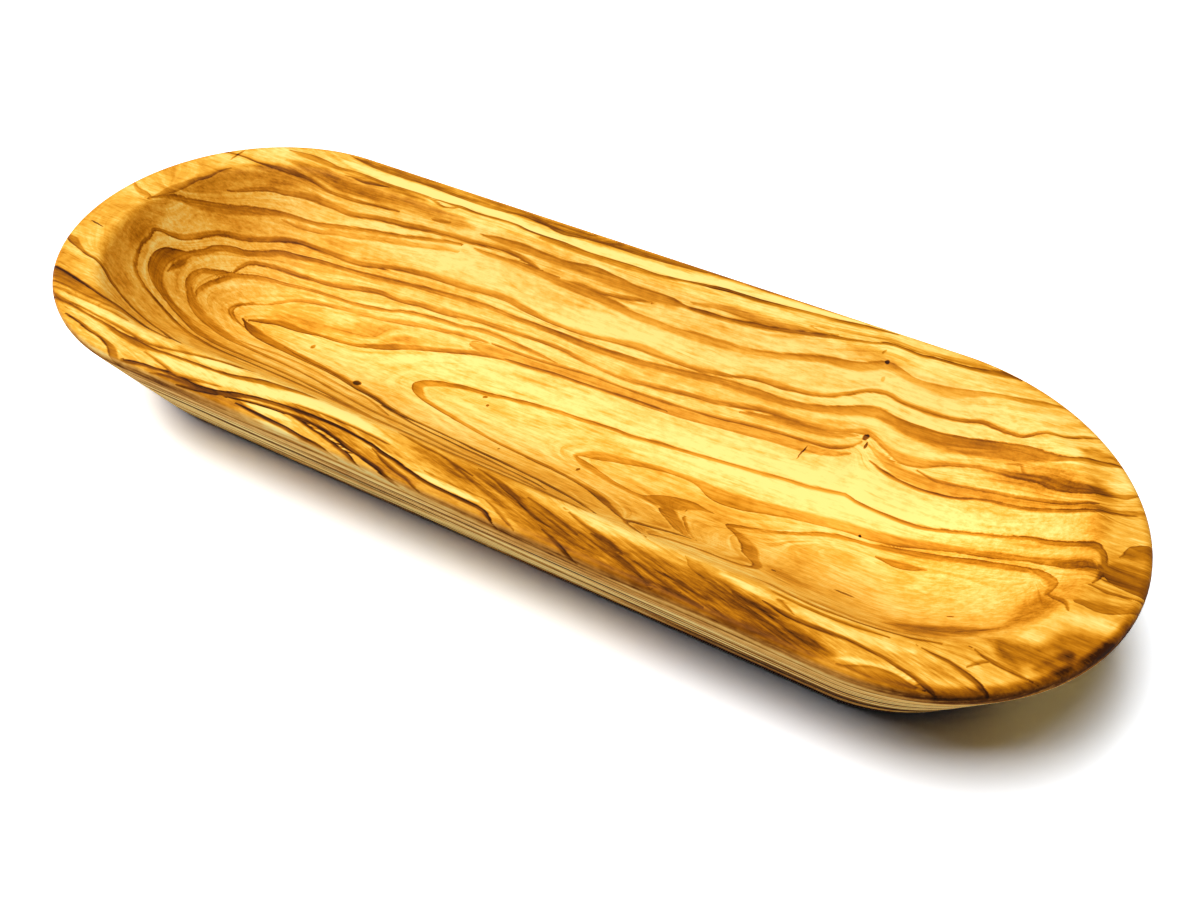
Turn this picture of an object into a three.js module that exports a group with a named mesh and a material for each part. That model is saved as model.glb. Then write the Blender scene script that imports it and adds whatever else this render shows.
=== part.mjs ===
// A long bread bowl carved from one block of olive wood.
// Millimetres, +Z up. The origin is the middle of the flat base and +X runs along the bowl.
// Its plan is a stadium: straight sides between two half-round ends. One profile, drawn as
// inset from the lip against height, is carried round that plan and closes on the spine,
// the line that joins the centres of the two ends.

import * as THREE from 'three';

// Block
const length = 400;
const width = 146;
const height = 52;

// Outer wall and base
const footInset = 25;
const footRound = 7;

// Lip, the upright band round the top edge
const lipBand = 5.5;
const lipTopRound = 2.8;
const lipUnderRound = 1.6;

// Rim and hollow
const rimWidth = 16.5;
const crestRound = 5;
const hollowDepth = 34;
const hollowWallAngle = 44;

// Facets
const endSteps = 24;
const sideSteps = 6;
const curveSteps = 10;

// Finish
const woodColour = 0xd8a248;
const woodRoughness = 0.45;

const halfWidth = width / 2;
const spineHalf = length / 2 - halfWidth;

// Draws a line towards a corner, then a curve that rounds it: the curve leaves the line one
// setback before the corner and ends one setback past it, on the way to the next point.
function roundCorner(path, corner, next, setback) {
  const before = path.currentPoint.clone().sub(corner).setLength(setback).add(corner);
  const after = next.clone().sub(corner).setLength(setback).add(corner);
  path.lineTo(before.x, before.y);
  path.quadraticCurveTo(corner.x, corner.y, after.x, after.y);
}

// The bowl's section from the spine of the base, out and up over the lip, across the rim and
// down the hollow to the spine of its floor. x is the inset from the lip, y is the height.
function bowlProfile() {
  const floorHeight = height - hollowDepth;
  const hollowRun = hollowDepth / Math.tan(THREE.MathUtils.degToRad(hollowWallAngle));
  const foot = new THREE.Vector2(footInset, 0);
  const lipUnder = new THREE.Vector2(0, height - lipBand);
  const lipTop = new THREE.Vector2(0, height);
  const crest = new THREE.Vector2(rimWidth, height);
  const hollowToe = new THREE.Vector2(rimWidth + hollowRun, floorHeight);

  const path = new THREE.Path();
  path.moveTo(halfWidth, 0);
  roundCorner(path, foot, lipUnder, footRound);
  roundCorner(path, lipUnder, lipTop, lipUnderRound);
  roundCorner(path, lipTop, crest, lipTopRound);
  roundCorner(path, crest, hollowToe, crestRound);
  path.quadraticCurveTo(hollowToe.x, hollowToe.y, halfWidth, floorHeight);
  return path.getPoints(curveSteps);
}

// Places round the plan, anticlockwise from above. Each has an anchor on the spine and the
// level direction that leads from it to the lip.
function planStations() {
  const stations = [];
  for (const end of [1, -1]) {
    const endAngle = end > 0 ? 0 : Math.PI;
    for (let step = 0; step <= endSteps; step += 1) {
      const angle = endAngle + (step / endSteps - 0.5) * Math.PI;
      const outward = new THREE.Vector2(Math.cos(angle), Math.sin(angle));
      stations.push({ anchor: end * spineHalf, outward });
    }
    for (let step = 1; step < sideSteps; step += 1) {
      const anchor = end * spineHalf * (1 - (2 * step) / sideSteps);
      stations.push({ anchor, outward: new THREE.Vector2(0, end) });
    }
  }
  return stations;
}

// Carries a profile round the plan as one closed skin. Both ends of the profile lie on the
// spine, where neighbours with one anchor meet in a point and need one triangle, not two.
function sweepRoundPlan(profile, stations) {
  const positions = [];
  for (const { anchor, outward } of stations) {
    for (const { x: inset, y: level } of profile) {
      const reach = halfWidth - inset;
      positions.push(anchor + outward.x * reach, outward.y * reach, level);
    }
  }

  const triangles = [];
  const rows = profile.length;
  const lastRow = rows - 2;
  stations.forEach((station, column) => {
    const nextColumn = (column + 1) % stations.length;
    const sharesAnchor = station.anchor === stations[nextColumn].anchor;
    for (let row = 0; row <= lastRow; row += 1) {
      const here = column * rows + row;
      const beside = nextColumn * rows + row;
      if (!(sharesAnchor && row === 0)) triangles.push(here, beside, beside + 1);
      if (!(sharesAnchor && row === lastRow)) triangles.push(here, beside + 1, here + 1);
    }
  });

  const geometry = new THREE.BufferGeometry();
  geometry.setAttribute('position', new THREE.Float32BufferAttribute(positions, 3));
  geometry.setIndex(triangles);
  geometry.computeVertexNormals();
  return geometry;
}

function makeBowl() {
  const wood = new THREE.MeshStandardMaterial({
    color: woodColour,
    roughness: woodRoughness,
    metalness: 0,
  });
  const bowl = new THREE.Mesh(sweepRoundPlan(bowlProfile(), planStations()), wood);
  bowl.name = 'bowl';
  return bowl;
}

const breadBowl = new THREE.Group();
breadBowl.add(makeBowl());

export default breadBowl;
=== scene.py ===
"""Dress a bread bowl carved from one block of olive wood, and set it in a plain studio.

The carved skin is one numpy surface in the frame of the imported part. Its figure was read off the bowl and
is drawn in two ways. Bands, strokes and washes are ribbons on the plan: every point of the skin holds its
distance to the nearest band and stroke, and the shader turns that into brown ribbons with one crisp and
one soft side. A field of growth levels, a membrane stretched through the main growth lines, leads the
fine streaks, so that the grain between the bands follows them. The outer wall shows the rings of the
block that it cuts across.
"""

import logging
import math
from dataclasses import dataclass, field
from enum import Enum
from typing import Any, Sequence, Union

import bpy
import numpy as np
from mathutils import Matrix, Vector


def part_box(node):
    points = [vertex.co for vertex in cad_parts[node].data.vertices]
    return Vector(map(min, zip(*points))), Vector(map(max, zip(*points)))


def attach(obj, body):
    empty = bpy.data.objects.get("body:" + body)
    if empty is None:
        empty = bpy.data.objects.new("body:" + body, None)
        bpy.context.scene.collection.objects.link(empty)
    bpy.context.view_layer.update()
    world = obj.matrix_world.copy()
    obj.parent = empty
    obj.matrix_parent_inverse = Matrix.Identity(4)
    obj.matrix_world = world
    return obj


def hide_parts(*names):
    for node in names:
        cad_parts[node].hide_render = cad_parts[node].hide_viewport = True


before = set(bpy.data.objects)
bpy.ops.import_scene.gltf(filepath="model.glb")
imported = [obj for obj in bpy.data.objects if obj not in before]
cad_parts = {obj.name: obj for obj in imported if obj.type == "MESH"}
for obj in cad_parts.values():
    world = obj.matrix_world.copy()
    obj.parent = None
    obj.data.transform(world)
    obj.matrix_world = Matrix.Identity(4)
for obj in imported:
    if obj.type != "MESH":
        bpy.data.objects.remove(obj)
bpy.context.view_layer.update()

MM = 0.001

log = logging.getLogger("bread_bowl")

Array = np.ndarray
Colour = tuple[float, float, float]
Point = tuple[float, float]
Span = tuple[float, float]
Station = tuple[float, float, float]
Stops = tuple[tuple[float, Colour], ...]
Input = Union["Value", float, Sequence[float]]
Owner = Union[bpy.types.Material, bpy.types.World]


class Layer(Enum):
    """Layers of ribbons that the shader draws."""

    BAND = "band"
    STROKE = "stroke"


@dataclass(frozen=True)
class GrowthLine:
    """A growth line that leads the field of growth levels.

    Attributes:
        level: Its order in the wood.
        path: Points along it, x and y in millimetres from the middle of the bowl.
    """

    level: float
    path: tuple[Point, ...]


@dataclass(frozen=True)
class Ribbon:
    """A ribbon of the figure on the plan of the bowl.

    Attributes:
        ink: How dark it is; negative is paler than the ground.
        path: Points along its middle: x, y and width in millimetres.
        soft: Half the width of its blurred edge in millimetres, for washes.
    """

    ink: float
    path: tuple[Station, ...]
    soft: float = 1.2


@dataclass(frozen=True)
class Patch:
    """A broad patch where the ground is deeper or paler than its surroundings.

    Attributes:
        centre: x and y in millimetres.
        radii: Reach along x and y, in millimetres.
        depth: How much deeper it is; negative is paler.
    """

    centre: Point
    radii: Point
    depth: float


@dataclass(frozen=True)
class Mark:
    """A small dark mark on the top of the bowl: a pin knot, pit, check or scratch.

    Attributes:
        centre: x and y in millimetres.
        radii: Half-length and half-width in millimetres.
        turn: Angle of its long axis from +X, in degrees.
        ink: How dark it is, 0 to 1.
    """

    centre: Point
    radii: Point
    turn: float
    ink: float


GROWTH_LINES = (
    GrowthLine(0, ((-184, 45), (-167, 46), (-150, 50), (-128, 50.5), (-95, 51.3), (-60, 52.8), (-12, 54),
        (20, 53.6), (50, 55.6), (78, 60.5), (90, 63.4), (103, 67), (120, 66.4), (138, 69.5))),
    GrowthLine(1, ((-196, 28), (-189, 21), (-183, 15), (-179, 16.5), (-172, 24), (-160, 36.5), (-150, 43),
        (-140, 46), (-110, 47.3), (-70, 49.6), (-30, 49.3), (0, 49.3), (30, 51.5), (60, 53.6),
        (80, 57.2), (92, 60.4), (103, 64.7), (113, 63.5), (130, 65), (146, 69))),
    GrowthLine(2, ((-197, 10), (-190, 5), (-185, 4.5), (-180, 12), (-170, 22), (-157, 32.5), (-140, 38.8),
        (-120, 40.8), (-85, 45), (-55, 48), (-28, 47), (20, 45.2), (55, 46), (80, 50.5),
        (101, 53.4), (104, 55.2), (112, 53.4), (135, 54.5), (163, 62.5))),
    GrowthLine(3, ((-45, -50), (-68, -46.8), (-95, -45.2), (-110, -44.6), (-130, -39), (-150, -32),
        (-165, -26), (-173, -14), (-176, -5), (-174, -1.3), (-170, 2.3), (-163, 15), (-150, 24.5),
        (-137, 30.3), (-115, 32), (-85, 35.3), (-42, 38), (-18, 36), (20, 38), (50, 38),
        (75, 41.3), (96, 45), (106, 49), (120, 47), (141, 48.2), (155, 45.6), (164, 47.3),
        (177, 52))),
    GrowthLine(4, ((30, -55), (0, -54), (-30, -50.8), (-50, -46.5), (-75, -40.7), (-103, -40), (-125, -36.5),
        (-140, -29.8), (-157, -25.3), (-166, -14), (-166.8, -3), (-160, 10.5), (-150, 17),
        (-143, 23.5), (-130, 27), (-100, 29.8), (-70, 32), (-25, 33), (10, 32.6), (55, 36.2),
        (85, 38.5), (106, 43.5), (120, 42), (150, 42.5), (168, 38.8), (186, 44))),
    GrowthLine(5, ((36, -53.5), (15, -50.5), (-5, -48.8), (-30, -43), (-60, -37), (-80, -31), (-100, -29.3),
        (-122, -26.3), (-149, -18), (-158, -10), (-159, 2), (-150, 14), (-138, 19.2), (-120, 21),
        (-100, 24.3), (-70, 26.8), (-20, 28.5), (18, 27), (50, 29.3), (92, 33.4), (106, 37),
        (120, 33.6), (145, 36), (163, 33.5), (172, 29), (180, 27.5), (191, 33))),
    GrowthLine(6, ((34, -51), (10, -44.5), (-20, -38.7), (-42, -36.5), (-65, -29.5), (-98, -25), (-121, -25),
        (-145, -16.8), (-153, -9), (-152, 1), (-146, 9), (-130, 15.8), (-100, 18), (-75, 22.4),
        (-45, 24.8), (-15, 24.2), (40, 26))),
    GrowthLine(7, ((-75, -23), (-100, -20), (-120, -19), (-138, -11.5), (-141.5, -6), (-135, 5.3), (-122, 12),
        (-100, 15.3), (-70, 20.2), (-30, 22.2), (10, 23.5), (50, 25.4), (80, 28.8), (99, 31.8),
        (106, 35), (115, 30.6), (140, 29.6), (160, 27), (183, 21.2), (195, 26))),
    GrowthLine(8, ((46, -53.5), (36, -48.5), (17, -41), (-5, -37), (-35, -33.3), (-57, -25.5), (-85, -18.2),
        (-118, -14), (-133, -8.5))),
    GrowthLine(8, ((-131, -5), (-125, -1.2), (-115, -2.2), (-88, 0.8), (-74, 7), (-55, 13.5), (-28, 18.4),
        (5, 20.2), (58, 22.8), (90, 27.5), (105, 32.5), (114, 28), (140, 27), (160, 23.7),
        (180, 20))),
    GrowthLine(9, ((66, -56.4), (54, -47.5), (40, -33.5), (22, -26.5), (-3, -23.5), (-28, -17), (-50, -10.5),
        (-57, -5), (-50, -0.5), (-30, 3), (0, 7), (45, 10.5), (90, 14.5), (107, 16.8), (116, 15.2),
        (150, 15.4), (168, 11.5), (182, 7), (186.5, 3), (192, 4.5), (199, 11))),
    GrowthLine(10, ((55, -46.5), (59, -41.5), (68, -36), (61, -28), (49, -21.5), (32, -18), (18, -12),
        (16, -9.5), (18, -5.5), (30, -0.5), (70, 2.2), (107, 7), (130, 10.2), (155, 8.2),
        (172, 2.3), (183, 0.8), (186, -4), (198, -3))),
    GrowthLine(11, ((64, -51), (66, -43), (73.5, -36), (66, -25.5), (62.5, -15), (78, -15.5), (97, -4),
        (120, 3.3), (138, 5.3), (155, 3), (168, -1), (175, -8), (187, -10.5), (198, -9.5))),
    GrowthLine(12, ((68, -48), (86, -43.5), (94, -37), (87, -30.5), (82, -21), (84, -18))),
    GrowthLine(12, ((171, -6), (176, -15.5), (180.5, -22), (193, -17.5), (198, -13.5))),
    GrowthLine(-1, ((-168, 62), (-150, 61), (-128, 57), (-100, 60), (-55, 61), (-20, 58.5), (15, 60),
        (48, 64.5), (75, 66.8), (108, 71))),
    GrowthLine(-2, ((-142, 70.5), (-120, 67), (-60, 66), (-30, 65), (0, 67), (30, 70))),
    GrowthLine(2, ((-193, -30), (-180, -34.5), (-170, -36), (-150, -44.5), (-130, -50), (-112, -55.7),
        (-85, -52.3), (-60, -51.2))),
    GrowthLine(1, ((-183, -46.5), (-165, -49.5), (-145, -50.3), (-120, -56.5), (-106, -57.4), (-85, -54))),
    GrowthLine(0, ((-174, -57), (-148, -60.8), (-136, -60.5), (-124, -62.3), (-108, -59.8), (-88, -56.3),
        (-60, -53.5), (-30, -54.8), (-5, -58), (22, -65), (44, -73))),
    GrowthLine(-1, ((-162, -60.3), (-145, -62.2), (-127, -65.3), (-108, -62.8), (-82, -60.3), (-62, -56.5),
        (-40, -55.3), (-20, -58), (5, -63.5), (28, -72))),
    GrowthLine(-2, ((-157, -64.5), (-140, -68), (-129, -72.3))),
    GrowthLine(-2, ((-122, -72.8), (-105, -70), (-86, -69.5), (-72, -66), (-55, -62.7), (-38, -61.6),
        (-15, -64.5), (10, -67.3), (24, -72.5))),
    GrowthLine(-3, ((-95, -73.5), (-78, -70), (-66, -67.3), (-56, -66), (-38, -68.8), (-20, -73))),
    GrowthLine(-4, ((-72, -73.2), (-60, -71), (-45, -73.2))),
    GrowthLine(4, ((58, -61), (76, -66), (92, -73))),
    GrowthLine(9, ((75, -58.5), (95, -61.7), (115, -62.3), (140, -63.5), (154, -68))),
    GrowthLine(11, ((100, -51), (110, -54.5), (122, -55.4), (140, -53.6), (147, -54.5), (160, -57),
        (166, -60.5))),
    GrowthLine(12, ((150, -51.5), (160, -48.5), (170, -51), (178, -52))),
    GrowthLine(12.4, ((100, -12), (112, -3), (140, -1), (160, -8), (166, -22), (150, -36),
        (120, -40), (100, -32))),
    GrowthLine(8.5, ((-118, -7), (-90, -8), (-68, -6))),
    GrowthLine(9.5, ((-40, -6), (-15, -9), (5, -11))),
    GrowthLine(10.6, ((26, -9), (40, -9), (52, -8))),
    GrowthLine(7.4, ((-128, 3), (-105, 7), (-85, 9))),
    GrowthLine(8.5, ((-40, 11), (0, 14), (50, 17), (100, 21))),
    GrowthLine(2.4, ((-194, -5), (-190, -18))),
    GrowthLine(2.5, ((-175, -30), (-160, -36), (-140, -43))),
    GrowthLine(0.5, ((-150, -55.5), (-135, -57))),
    GrowthLine(12.5, ((185, -26), (178, -38), (168, -46))),
    GrowthLine(-1.5, ((-112, -66.5), (-80, -64.2), (-60, -59.8), (-40, -58.3), (-15, -61.3))),
    GrowthLine(-1.6, ((-128, -69), (-125, -74))),
    GrowthLine(-2.5, ((-152, -70), (-140, -74.5))),
    GrowthLine(-2.5, ((-120, 72), (-60, 71), (-20, 71))),
)

BANDS = (
    # Hollow, from the far crest inwards
    Ribbon(0.60, (
        (-168, 30, 1.2), (-162, 36, 1.3), (-156, 40.5, 1.5), (-150, 42.9, 1.6), (-144, 45, 1.6),
        (-137, 46.4, 1.7), (-128, 46.7, 1.8), (-118, 46.3, 1.8), (-108, 46.9, 1.5), (-98, 47.6, 1.5),
        (-86, 48.5, 1.4), (-74, 49.3, 1.3), (-60, 49.7, 1.3), (-46, 50.6, 1.1), (-38, 50.2, 1.1),
        (-30, 48.6, 0.9))),
    Ribbon(0.50, (
        (-22, 48, 1), (-14, 48.8, 1.2), (-5, 48.3, 1.1), (2, 49.1, 1.1), (9, 49.9, 1.1), (16, 50.5, 0.8))),
    Ribbon(0.60, (
        (-184.5, 3.8, 2), (-182.5, 8, 1.6), (-179.5, 12.5, 1.6), (-175, 16, 2.6), (-170, 20, 3.2),
        (-165, 24.2, 3.4), (-160, 28.8, 3), (-155, 32, 2.4), (-150, 34.8, 2), (-144, 37, 1.6),
        (-135, 38.7, 1.4), (-125, 40.3, 1.2), (-115, 41.8, 1.2), (-105, 43, 1.1), (-95, 44.2, 1.1),
        (-85, 45.4, 1), (-75, 46.9, 1), (-66, 47.9, 1))),
    Ribbon(0.36, (
        (-146, 34.8, 1.2), (-135, 37, 1.6), (-125, 38.5, 1.6), (-112, 40, 1.8), (-100, 41.8, 1.6),
        (-88, 43.2, 1.5), (-76, 44.8, 1.4), (-66, 45.8, 1))),
    Ribbon(0.46, (
        (-60, 48, 1.2), (-45, 47.9, 1.4), (-35, 47.6, 1.6), (-25, 47.2, 2), (-12, 47, 2.8),
        (0, 46.4, 2.4), (12, 45.4, 2), (25, 45.1, 2), (38, 45.5, 2.2), (50, 46, 2.2), (60, 46.9, 2),
        (70, 48.6, 1.6), (77, 50.2, 1.5), (84, 51.3, 1.8), (92, 51.8, 2), (98, 52.9, 2.2),
        (103, 54.9, 2.2), (106, 55.1, 1.8), (110, 53.9, 1.8), (115, 53, 1.7), (122, 53.1, 2),
        (130, 53.7, 2.2), (137, 55, 1.8), (143, 56.8, 1.6), (150, 58.1, 2.4), (157, 59.6, 2.6),
        (163, 61, 2.2))),
    Ribbon(0.62, (
        (40, -55, 1.2), (20, -55.3, 1.4), (0, -55, 2), (-14, -54, 2), (-26, -52, 2.6), (-36, -51, 2.8),
        (-46, -49.6, 2.4), (-58, -47.8, 2), (-75, -46.2, 2), (-95, -45, 2), (-108, -44.5, 2),
        (-118, -42.4, 2), (-128, -39.4, 2), (-138, -36.2, 1.7), (-150, -32, 1.3), (-160, -29.2, 1.2),
        (-166, -25.7, 1), (-170, -21, 0.9), (-173, -15, 0.9), (-175, -8.5, 0.9), (-175.9, -4.2, 1.1),
        (-173.6, -1.3, 1.6), (-170.5, 2, 2.2), (-167.5, 7, 2), (-164.6, 12.8, 1.8), (-161, 16.8, 1.7),
        (-155, 20.8, 1.8), (-149, 25.2, 1.8), (-143, 29, 1.8), (-135, 31.3, 1.5), (-122, 31.8, 1.6),
        (-108, 31.9, 1.6), (-98, 33.1, 1.4), (-86, 35, 1.4), (-72, 36.1, 1.6), (-56, 36.6, 1.8),
        (-42, 37.5, 1.8), (-30, 36.5, 1.7), (-16, 35.7, 1.3), (-4, 35.7, 1.3), (8, 36.8, 1.6),
        (18, 37.5, 2), (28, 37.1, 1.6), (42, 37, 1), (54, 38.4, 1.1), (64, 40.6, 1.4), (74, 40.9, 1.6),
        (84, 41.7, 1.1), (92, 43.4, 1), (98, 45.8, 1), (103, 48, 1.2), (107, 48.6, 1.2), (113, 47.4, 1),
        (124, 47.1, 1), (134, 47.7, 1), (141, 48.3, 1.2), (148, 46.5, 1), (154, 45.5, 1),
        (160, 47, 1.2), (166, 47.5, 1), (172, 50.4, 1.3), (178, 52.3, 1.2))),
    Ribbon(0.62, (
        (-36, -50, 2), (-46, -47.6, 2.2), (-56, -44.8, 2.2), (-66, -42.4, 2.2), (-78, -39.9, 2.2),
        (-92, -38.7, 2), (-106, -38.8, 2.2), (-116, -37.6, 2.6), (-126, -35, 3.2), (-134, -32, 3.4),
        (-142, -29, 3), (-150, -26.7, 2.8), (-157, -23.8, 3.4), (-163, -19.5, 4.6), (-166.5, -14, 5.4),
        (-167.4, -9.5, 5.4), (-167, -6.5, 5), (-166, -3.4, 4), (-164.8, 0, 3))),
    Ribbon(0.60, (
        (-162.8, -14, 1.5), (-163.3, -9, 2.6), (-164, -4.5, 2.4), (-164.6, -1, 2), (-162.8, 4, 2.2),
        (-160.4, 9, 2.4), (-156.5, 13.2, 2.6), (-151, 16.6, 2.4), (-146.5, 20.4, 2.2), (-141, 24.2, 2),
        (-133, 26.2, 1.9), (-122, 27.6, 1.7), (-108, 28.2, 1.4), (-94, 29.5, 1.3), (-80, 31, 1.2),
        (-64, 32, 1.2), (-45, 32.9, 1.4), (-30, 32.5, 1.2), (-14, 32.4, 1.5), (0, 32.4, 1.8),
        (14, 32.7, 1.8), (28, 33.6, 2), (42, 34.8, 2.1), (54, 36.1, 2.3), (64, 36.6, 2.3),
        (76, 36.7, 1.8), (88, 38.4, 1.9), (97, 40.2, 2.6), (103, 42, 3.4), (107, 42.6, 3),
        (112, 41.7, 3), (119, 41, 3.6), (130, 40.8, 4.4), (142, 40.9, 4.9), (151, 40.6, 5),
        (159, 39.5, 4.2), (165, 38.8, 2.4), (169, 38.5, 1.4), (174, 40.2, 1.6), (180, 41.3, 1.8),
        (187, 43.3, 1.6))),
    Ribbon(0.56, (
        (-151, 5.5, 1.8), (-150.6, 10, 1.5), (-148.5, 14.6, 1.6), (-144, 17.2, 1.5), (-138, 19.2, 1.5),
        (-128, 20.6, 1.4), (-116, 21.2, 1.3), (-107, 22.4, 1.5), (-99, 24.1, 1.6), (-91, 24.9, 1.4),
        (-83, 24.9, 1.3), (-74, 26, 1.7), (-62, 26.5, 1.7), (-46, 27.7, 1.4), (-28, 28.2, 1.2),
        (-12, 28.5, 1.1), (2, 27.4, 1.1), (16, 26.6, 1.1), (28, 27.6, 1.2), (42, 28.9, 1.3),
        (54, 29.9, 1.3), (64, 31.8, 1.5), (74, 32.9, 1.3), (86, 33.2, 1.2), (95, 33.9, 1.2),
        (101, 35.4, 1.3), (106.5, 37, 1.5), (111, 35.6, 1.3), (116, 34, 1.6), (121.5, 33.1, 2.6),
        (128, 33.7, 2.3), (135, 35.5, 1.3), (143, 36.2, 1.2), (150, 35.2, 1.3), (157, 34, 1.8),
        (163, 32.9, 2.6), (168.5, 30.6, 3.2), (174, 28.9, 3.2), (178, 28.1, 3), (183, 28.2, 2),
        (188, 29.8, 2), (192, 33, 2))),
    Ribbon(0.50, (
        (62, 29.5, 1), (72, 30.6, 1.6), (82, 31.1, 2), (91, 31.6, 2), (98, 33, 1.8), (103, 35, 1.4))),
    Ribbon(0.42, (
        (108, 33.6, 1.4), (113, 31.5, 2), (119, 29.4, 2.6), (126, 28.6, 3.4), (138, 28, 3.4),
        (148, 28, 3.2), (156, 26.7, 3.2), (164, 24.9, 3.2), (171, 23, 3), (178, 21.7, 2.6),
        (184, 21.4, 2), (190, 23.4, 2.2), (195.5, 26, 2.4))),
    Ribbon(0.52, (
        (-149, 7.5, 2), (-153, 3.5, 2.2), (-157, -1, 2), (-158.3, -6, 1.8), (-156.5, -11, 2),
        (-152.5, -15, 2.6), (-147, -19, 4), (-140, -21.5, 4.6), (-133, -23, 4.6), (-126, -25.5, 4),
        (-119, -27.6, 3.2), (-110, -28.8, 2), (-100, -29.6, 1.5), (-90, -30.4, 1.4), (-80, -32.2, 1.4),
        (-70, -34.8, 1.5), (-60, -37, 1.8), (-50, -40, 2), (-42, -42, 2.2), (-32, -43, 2),
        (-20, -45.6, 2.3), (-8, -48.6, 2.4), (5, -49.8, 1.8), (16, -50.6, 1.5), (26, -52.5, 1.8),
        (36, -54.2, 1.4), (46, -54.9, 1))),
    Ribbon(0.52, (
        (-151, -15, 2), (-152.6, -9, 1.8), (-152.5, -2, 1.8), (-150.5, 4.5, 2), (-147.5, 8, 1.8),
        (-143, 11.5, 1.6), (-137, 13.8, 1.5), (-130, 15.4, 1.4), (-122, 16.6, 1.3), (-112, 17.2, 1.2),
        (-102, 17.6, 1.1), (-92, 18.6, 1.1), (-84, 20, 1.1), (-75, 22, 1.1), (-68, 22.8, 1.1),
        (-60, 23.2, 1.1), (-52, 23.7, 1.1), (-45, 24.9, 1.2), (-36, 25.2, 1.2), (-27, 24.6, 1.1),
        (-18, 24, 1), (-10, 23.3, 1))),
    Ribbon(0.44, (
        (-122, -25.6, 1), (-114, -25, 1.4), (-105, -24, 1.6), (-95, -24.3, 1.6), (-85, -25.6, 1.4),
        (-75, -27.8, 1.4), (-66, -29.6, 1.2), (-58, -30.3, 1), (-50, -34, 1.2), (-44, -37.5, 1.6),
        (-40, -39.5, 1.6))),
    Ribbon(0.44, (
        (-134, 3, 1.4), (-128, 8.6, 1.5), (-121, 11.9, 1.6), (-112, 13.6, 1.4), (-100, 14.9, 1.2),
        (-90, 15.6, 1.3), (-80, 17.4, 1.6), (-70, 18.9, 1.6), (-60, 20.1, 1.4), (-48, 21.4, 1.3),
        (-38, 21.7, 1))),
    Ribbon(0.50, (
        (-134, 3, 1.3), (-138.5, -0.5, 1.3), (-141, -5, 1.4), (-140.3, -9, 2), (-136, -11.5, 1.4),
        (-130, -13.5, 1))),
    Ribbon(0.40, (
        (-45, 19.2, 3.5), (-30, 20.1, 3.8), (-18, 20.8, 4), (-6, 21.6, 3.8), (8, 22, 3.5),
        (24, 22.3, 3.5), (40, 22.9, 3.3), (52, 23.8, 3.3), (64, 25, 3.4), (76, 25.9, 3.2),
        (86, 26.2, 2.6), (93, 26.5, 2), (99, 27.5, 1.6), (104, 29.4, 1.2))),
    Ribbon(0.66, (
        (-132, -7.5, 3.2), (-128, -4.5, 3.6), (-122, -2, 3.4), (-116, -1.8, 3), (-110, -1.5, 2),
        (-104, -0.3, 1.4), (-96, 0.4, 1.4), (-88, 1.4, 1.6), (-81, 4, 2.2), (-75, 6.8, 2.6),
        (-68, 9.6, 2.2), (-60, 12, 1.9), (-50, 14.8, 1.8), (-40, 17.2, 1.6), (-30, 18.4, 1.4))),
    Ribbon(0.78, (
        (-134, -9, 2), (-128, -11.5, 4), (-120, -14.8, 5), (-112, -16.5, 4.5), (-104, -17.5, 4),
        (-96, -18.4, 3.6), (-88, -19.3, 3), (-80, -20.5, 3), (-72, -22.5, 3), (-64, -24.8, 3.4),
        (-57, -26.5, 3), (-50, -29.3, 3), (-44, -31.6, 3), (-38, -33, 2.4), (-33, -33.6, 1.8),
        (-25, -34.4, 1.5), (-15, -35.7, 1.5), (-6, -37.6, 2), (4, -39, 2), (14, -40.6, 1.8),
        (24, -42.9, 2), (32, -45.4, 2), (38, -48, 1.8), (43, -50.8, 1.6), (47, -53.4, 1.4))),
    Ribbon(0.62, (
        (184.8, -9.5, 1.6), (186, -6, 1.6), (186.3, -2, 1.6), (185.5, 2.5, 2), (183.5, 5.8, 2),
        (180, 7.6, 1.6), (175, 8.6, 1.8), (171, 10.2, 1.8), (167, 12, 1.4), (160, 13.6, 1.2),
        (152, 15, 1), (145, 15.4, 1), (135, 15, 1), (125, 14.9, 1), (117, 15, 1), (111, 15.5, 1),
        (107.5, 16.6, 1.1), (104, 15.9, 1.1), (96, 14.9, 1.1), (86, 14, 1.1), (76, 13, 1.2),
        (64, 11.9, 1.2), (52, 11.1, 1.2), (40, 9.8, 1.3), (30, 8.6, 1.2), (20, 8.4, 1.3),
        (10, 7.5, 1.2), (0, 7, 1.2), (-10, 5.8, 1.3), (-20, 4.3, 1.4), (-30, 2.6, 1.6), (-38, 1.6, 1.8),
        (-45, -0.2, 2.4), (-50, -3, 4), (-52.5, -6, 4.5), (-50, -9.5, 3.6), (-46, -12.3, 2.4),
        (-40, -14.3, 2.2), (-32, -16.4, 2.4), (-24, -18.8, 2.2), (-16, -20.8, 2), (-8, -22.8, 1.8),
        (0, -23.8, 1.6), (8, -24.8, 2), (16, -25.6, 2.2), (24, -27.2, 2), (31, -29.4, 2.4),
        (37, -32.3, 3.4), (42, -36, 3.2), (46.5, -40, 2.6), (50.5, -43.8, 2.4), (53.5, -46.5, 2))),
    Ribbon(0.50, (
        (16.5, -10, 3), (19, -7.4, 4), (24, -5, 4.6), (31, -3, 3.4), (39, -1.1, 2.4), (48, 0.4, 1.8),
        (56, 1, 2), (62, 0.4, 3.4), (68, -1.4, 6.4), (74, -1.2, 7), (81, 0.2, 6), (88, 1.7, 4.8),
        (96, 3.4, 4.1), (104, 5, 4), (112, 6.2, 3.8), (120, 6.6, 3.8), (128, 7.8, 3.6), (138, 9.2, 2.8),
        (148, 8.9, 2.4), (156, 7.3, 2.2), (164, 5, 2.2), (170, 3, 2.2), (175, 1.2, 3), (180, -0.6, 4.6),
        (184.5, -2.4, 5))),
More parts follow.
